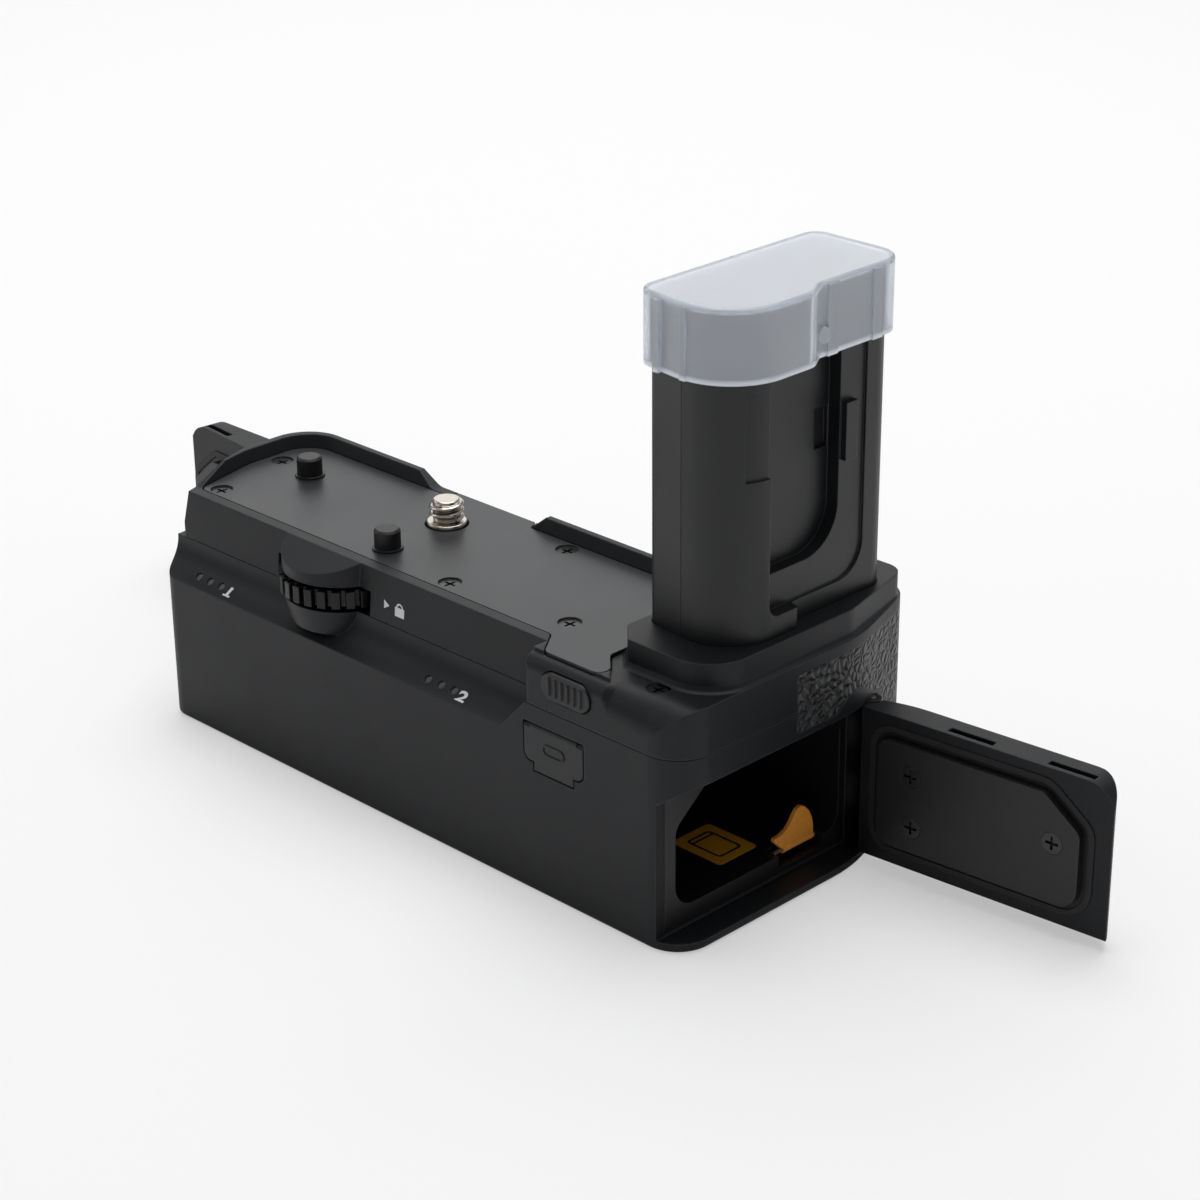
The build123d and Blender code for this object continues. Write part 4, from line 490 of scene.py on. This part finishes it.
def draw_frame(shape, long, wide, line, rounding):
    """A rounded rectangle drawn with a line of even width on the plane z = 0."""
    corners = ((-long / 2, -wide / 2), (long / 2, -wide / 2), (long / 2, wide / 2), (-long / 2, wide / 2))
    ring = bmesh.ops.create_circle(shape, segments=4, radius=1.0, cap_ends=True)["verts"]
    for vert, (x, y) in zip(ring, corners):
        vert.co = Vector((x, y, 0))
    bmesh.ops.bevel(shape, geom=ring, offset=rounding, affect="VERTICES", segments=4, profile=0.5,
                    material=-1)
    inside = max(shape.faces, key=lambda face: face.calc_area())
    bmesh.ops.inset_region(shape, faces=[inside], thickness=line, use_even_offset=True, use_boundary=True)
    bmesh.ops.delete(shape, geom=[inside], context="FACES_ONLY")


def draw_bar(shape, long, wide, x, y):
    """A flat bar on the plane z = 0."""
    bar = bmesh.ops.create_grid(shape, x_segments=1, y_segments=1, size=0.5)["verts"]
    bmesh.ops.scale(shape, verts=bar, vec=(long, wide, 1))
    bmesh.ops.translate(shape, verts=bar, vec=(x, y, 0))


def face_way(shape, way):
    """Turns every face of a flat mark to look one way."""
    bmesh.ops.recalc_face_normals(shape, faces=shape.faces)
    for face in shape.faces:
        if face.normal.dot(way) < 0:
            face.normal_flip()


def draw_battery(shape, x, way):
    """The outline of a battery with its terminal end towards the chamber."""
    draw_frame(shape, battery_long, battery_wide, battery_line, battery_rounding)
    terminal_x = battery_line + terminal_long - battery_long / 2
    draw_bar(shape, battery_line, battery_wide - 2 * battery_line, terminal_x, 0)
    bmesh.ops.scale(shape, verts=shape.verts, vec=(way, way, 1))
    bmesh.ops.translate(shape, verts=shape.verts, vec=(x, label_middle, label_high + ink_lift))
    face_way(shape, Vector((0, 0, 1)))


for side, (x, way) in label_places.items():
    mark = make(f"{side}_label_mark", draw_battery, black_ink, x, way)
    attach(mark, "case_body")


# Doors: moulded polycarbonate shells that match the casing and turn on steel pins. Each
# carries a smooth ABS plate, held by screws, with a soft silicone seal round it. The
# latches are a little glossier from the fingers that slide them.
seal = grained("silicone_seal", "#131314", roughness=0.62, grain_mm=0.5, depth_mm=0.005, edge_mm=0.15)
knob_plastic = grained("handled_abs", "#202123", roughness=0.38, grain_mm=0.5, depth_mm=0.01, edge_mm=0.2)
dress(casing_plastic, "right_door_shell", "left_door_shell")
dress(liner_plastic, "right_door_plate", "left_door_plate")
dress(seal, "right_door_gasket", "left_door_gasket")
dress(knob_plastic, "right_door_latch", "left_door_latch")


# Thumb wheel: moulded glass-filled nylon on a steel axle, smooth on its faces, with a
# painted highlight along the crests of its teeth.
nylon = grained("glass_filled_nylon", "#0B0C0D", roughness=0.3, grain_mm=0.6, depth_mm=0.008, edge_mm=0.3,
                specular=0.3, edge_highlight=0.9)
# The lighter crests are a painted highlight on the wheel's edges.
dress(nylon, "thumb_wheel")


# Camera screw: stainless steel with a rolled quarter inch thread, a flange that stops in
# the plate and a plain journal below it.
journal_foot = 31.2 * mm
journal_radius = 2.4 * mm
journal_rounding = 0.2 * mm
flange_foot = 43.9 * mm
flange_radius = 3.7 * mm
flange_rounding = 0.25 * mm
thread_foot = 45.3 * mm
thread_head = 49.5 * mm
thread_root = 2.5 * mm
thread_crest = 3.175 * mm
thread_pitch = 1.27 * mm
thread_rounding = 0.35 * mm
thread_sink = 0.1 * mm
crest_starts = 0.42
crest_ends = 0.52
flank_ends = 0.94
steps_each_turn = 48
round_segments = 64
stainless = turned("stainless_steel", "#CFC8BE", roughness=0.2, ring_mm=0.25)


def draw_cylinder(shape, radius, low, high, rounding):
    """A capped cylinder on Z whose rims are rounded."""
    verts = bmesh.ops.create_cone(shape, cap_ends=True, segments=round_segments, radius1=radius,
                                  radius2=radius, depth=high - low)["verts"]
    bmesh.ops.translate(shape, verts=verts, vec=(0, 0, (low + high) / 2))
    caps = {face for vert in verts for face in vert.link_faces if len(face.verts) == round_segments}
    round_edges(shape, [edge for edge in shape.edges if caps.intersection(edge.link_faces)], rounding)


def draw_screw(shape):
    """Journal, flange and threaded end, with the ridge of the thread spun round it."""
    draw_cylinder(shape, journal_radius, journal_foot, flange_foot, journal_rounding)
    draw_cylinder(shape, flange_radius, flange_foot, thread_foot, flange_rounding)
    draw_cylinder(shape, thread_root, thread_foot, thread_head, thread_rounding)
    ridge = [shape.verts.new((radius, 0, thread_foot + part * thread_pitch)) for radius, part in (
        (thread_root - thread_sink, 0.0),
        (thread_crest, crest_starts),
        (thread_crest, crest_ends),
        (thread_root - thread_sink, flank_ends),
    )]
    turns = (thread_head - thread_foot - thread_pitch) / thread_pitch
    bmesh.ops.spin(shape, geom=[shape.faces.new(ridge)], cent=(0, 0, 0), axis=(0, 0, 1),
                   angle=2 * math.pi * turns, steps=round(steps_each_turn * turns),
                   dvec=(0, 0, thread_pitch / steps_each_turn), use_duplicate=False)
    bmesh.ops.recalc_face_normals(shape, faces=shape.faces)


screw = make("threaded_camera_screw", draw_screw, stainless)
for polygon in screw.data.polygons:
    polygon.use_smooth = len(polygon.vertices) == 4
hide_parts("camera_screw")
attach(screw, "screw_body")


# Check button and port cover: moulded thermoplastic rubber, matter than the casing and
# soft at every edge. The cover carries a raised line in the shape of the socket's mouth.
cover_low, cover_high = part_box("port_cover")
socket_mark_long = 5.2 * mm
socket_mark_high = 2.2 * mm
socket_mark_line = 0.4 * mm
socket_mark_rise = 0.14 * mm
socket_mark_rounding = 0.95 * socket_mark_high / 2
socket_mark_above_middle = 0.4 * mm
soft_touch = grained("thermoplastic_rubber", "#17191C", roughness=0.5, grain_mm=0.3, depth_mm=0.012,
                     edge_mm=0.45)
dress(soft_touch, "check_button", "port_cover")


def draw_socket_mark(shape):
    """The raised line on the cover's outer face."""
    draw_frame(shape, socket_mark_long, socket_mark_high, socket_mark_line, socket_mark_rounding)
    thicken(shape, (0, 0, socket_mark_rise))
    turn(shape, shape.verts, quarter_turn, "X")
    bmesh.ops.translate(shape, verts=shape.verts, vec=(
        (cover_low.x + cover_high.x) / 2,
        cover_low.y,
        (cover_low.z + cover_high.z) / 2 + socket_mark_above_middle,
    ))
    bmesh.ops.recalc_face_normals(shape, faces=shape.faces)


socket_mark = make("port_cover_mark", draw_socket_mark, soft_touch)
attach(socket_mark, "cover_body")


# Light pipes: frosted acrylic rods, pressed into the lower casing. Unlit, they show as
# three small grey dots for each battery.
acrylic = grained("frosted_acrylic", "#3E4247", roughness=0.35, grain_mm=0.4, depth_mm=0.01, edge_mm=0.1)
dress(acrylic, "light_pipes_left", "light_pipes_right")


# Printed numbers: white pad-printed ink on the cove, one beside each row of light dots.
# They are printed from the front, so they follow the slope of the cove.
number_places = {"1": -31.3 * mm, "2": 32.2 * mm}
number_depth = -26.6 * mm
number_height = 2.6 * mm
digit_height_share = 0.7
number_widening = 1.2
slope_shortening = 0.62
number_slant = 0.06
stroke_gain = 0.12 * mm
foot_long = 1.6 * mm
foot_wide = 0.55 * mm
print_lift = 0.03 * mm
neck_wall = -23.6 * mm
seam = 35.3 * mm
cove_radius = 6.845 * mm
white_ink = grained("white_ink", "#D9DCDF", roughness=0.6, grain_mm=0.3, depth_mm=0.002, edge_mm=0.02)


def cove_height(y):
    """How high the cove is at a depth."""
    return seam - math.sqrt(cove_radius ** 2 - (y - neck_wall + cove_radius) ** 2)


def draw_number(shape, text, x):
    """A numeral laid on the cove. The one has a foot, so that it isn't read as a stroke."""
    letters = bpy.data.curves.new("letters", "FONT")
    letters.body = text
    letters.size = number_height / digit_height_share
    letters.align_x = "CENTER"
    letters.align_y = "CENTER"
    letters.shear = number_slant
    letters.offset = stroke_gain
    holder = bpy.data.objects.new("letters", letters)
    bpy.context.scene.collection.objects.link(holder)
    flat = bpy.data.meshes.new_from_object(holder.evaluated_get(bpy.context.evaluated_depsgraph_get()))
    bpy.data.objects.remove(holder)
    shape.from_mesh(flat)
    bpy.data.meshes.remove(flat)
    if text == "1":
        lowest = min(vert.co.y for vert in shape.verts)
        stem = [vert.co.x for vert in shape.verts if vert.co.y < lowest + foot_wide / 4]
        draw_bar(shape, foot_long, foot_wide, sum(stem) / len(stem), lowest + foot_wide / 2)
    for vert in shape.verts:
        y = number_depth + vert.co.y * slope_shortening
        vert.co = Vector((x + vert.co.x * number_widening, y, cove_height(y) + print_lift))


for text, x in number_places.items():
    numeral = make(f"number_{text}", draw_number, white_ink, text, x)
    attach(numeral, "case_body")


# Wheel marks: an arrow and a padlock in the same ink on the neck beside the wheel. They
# show which way it turns to hold the camera.
neck_top = 44.6 * mm
neck_lean = 0.8 * mm
wall_tilt = math.atan2(neck_lean, neck_top - seam)
wheel_mark_height = 38.9 * mm
arrow_place = 9.5 * mm
arrow_radius = 0.95 * mm
padlock_place = 13.1 * mm
padlock_long = 2.4 * mm
padlock_high = 1.7 * mm
padlock_below_middle = 0.5 * mm
shackle_foot = 0.3 * mm
shackle_inner = 0.55 * mm
shackle_outer = 0.88 * mm


def stand_on_wall(shape, x):
    """Stands a mark that is drawn flat up against the neck's wall."""
    turn(shape, shape.verts, quarter_turn - wall_tilt, "X")
    y = neck_wall + (wheel_mark_height - seam) * math.tan(wall_tilt) - print_lift
    bmesh.ops.translate(shape, verts=shape.verts, vec=(x, y, wheel_mark_height))
    face_way(shape, Vector((0, -1, 0)))


def draw_arrow(shape):
    """A triangle that points at the padlock."""
    bmesh.ops.create_circle(shape, segments=3, radius=arrow_radius, cap_ends=True)
    turn(shape, shape.verts, -quarter_turn, "Z")
    stand_on_wall(shape, arrow_place)


def draw_padlock(shape):
    """A padlock's body with its shackle."""
    draw_bar(shape, padlock_long, padlock_high, 0, -padlock_below_middle)
    inner = shape.verts.new((shackle_inner, shackle_foot, 0))
    outer = shape.verts.new((shackle_outer, shackle_foot, 0))
    bmesh.ops.spin(shape, geom=[inner, outer, shape.edges.new((inner, outer))], cent=(0, shackle_foot, 0),
                   axis=(0, 0, 1), angle=math.pi, steps=12, use_duplicate=False)
    stand_on_wall(shape, padlock_place)


for name, draw in (("wheel_arrow", draw_arrow), ("wheel_padlock", draw_padlock)):
    mark = make(name, draw, white_ink)
    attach(mark, "case_body")


# Circuit board: glass-fibre laminate under a glossy green solder mask, screwed down in
# the tub, with its soldered parts of matt black moulded epoxy.
laminate = grained("solder_mask", "#14532D", roughness=0.3, grain_mm=0.5, depth_mm=0.006, edge_mm=0.05)
epoxy = grained("moulded_epoxy", "#18181A", roughness=0.5, grain_mm=0.2, depth_mm=0.01, edge_mm=0.08)
dress(laminate, "circuit_board")
dress(epoxy, "board_parts")


# Tower: two moulded ABS shells of battery shape, joined down the middle. Their grain is
# finer than the casing's, because they slide into the camera.
# Its edges carry a painted highlight, weaker than the casing's.
tower_plastic = grained("fine_grained_abs", "#111316", roughness=0.42, grain_mm=0.25, depth_mm=0.008,
                        edge_mm=0.25, edge_highlight=0.5)
dress(tower_plastic, "tower_left_shell", "tower_right_shell")


# Tower cap: soft polypropylene pushed over the tower, milky because it cools slowly in
# the mould. It passes light through its walls, but its foot scatters it and looks white.
# An ejector pin of the mould has left a small round mark on the hollow side.
cap_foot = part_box("tower_cap")[0].z
white_foot_ends = 0.35 * mm
clear_wall_starts = 1.0 * mm
foot_clearness = 0.1
wall_clearness = 0.72
flow_size = 6 * mm
flow_depth = 0.02 * mm
cap_edge = 0.3 * mm
cap_gloss = 0.14
cap_dull = 0.2
ejector_mark_radius = 1.5 * mm
ejector_mark_rise = 0.6 * mm
ejector_mark_root = 0.1 * mm
ejector_mark_rounding = 0.2 * mm
ejector_mark_place = Vector((81.35, 7.9, 97.6)) * mm

cap_plastic, tree = start("milky_polypropylene")
place = add(tree, "ShaderNodeTexCoord").outputs["Object"]
flow = add(tree, "ShaderNodeTexNoise", {"Vector": place, "Scale": 1 / flow_size, "Detail": 3.0})
soft_edge = add(tree, "ShaderNodeBevel", {"Radius": cap_edge}, samples=4)
ripple = add(tree, "ShaderNodeBump", {
    "Height": flow.outputs["Fac"],
    "Normal": soft_edge.outputs["Normal"],
    "Strength": 0.2,
    "Distance": flow_depth,
})
haze = add(tree, "ShaderNodeMapRange", {
    "Value": flow.outputs["Fac"],
    "To Min": cap_gloss,
    "To Max": cap_dull,
})
clearness = add(tree, "ShaderNodeMapRange", {
    "Value": add(tree, "ShaderNodeSeparateXYZ", {"Vector": place}).outputs["Z"],
    "From Min": cap_foot + white_foot_ends,
    "From Max": cap_foot + clear_wall_starts,
    "To Min": foot_clearness,
    "To Max": wall_clearness,
})
surface = add(tree, "ShaderNodeBsdfPrincipled", {
    "Base Color": colour("#F3F8FF"),
    "Roughness": haze.outputs["Result"],
    "IOR": 1.49,
    "Transmission Weight": clearness.outputs["Result"],
    "Normal": ripple.outputs["Normal"],
})
add(tree, "ShaderNodeOutputMaterial", {"Surface": surface.outputs["BSDF"]})
dress(cap_plastic, "tower_cap")


def draw_ejector_mark(shape):
    """A low round boss that stands out sideways."""
    draw_cylinder(shape, ejector_mark_radius, -ejector_mark_root, ejector_mark_rise, ejector_mark_rounding)
    turn(shape, shape.verts, quarter_turn, "Y")
    bmesh.ops.translate(shape, verts=shape.verts, vec=ejector_mark_place)


ejector_mark = make("cap_mould_mark", draw_ejector_mark, cap_plastic)
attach(ejector_mark, "cap_body")
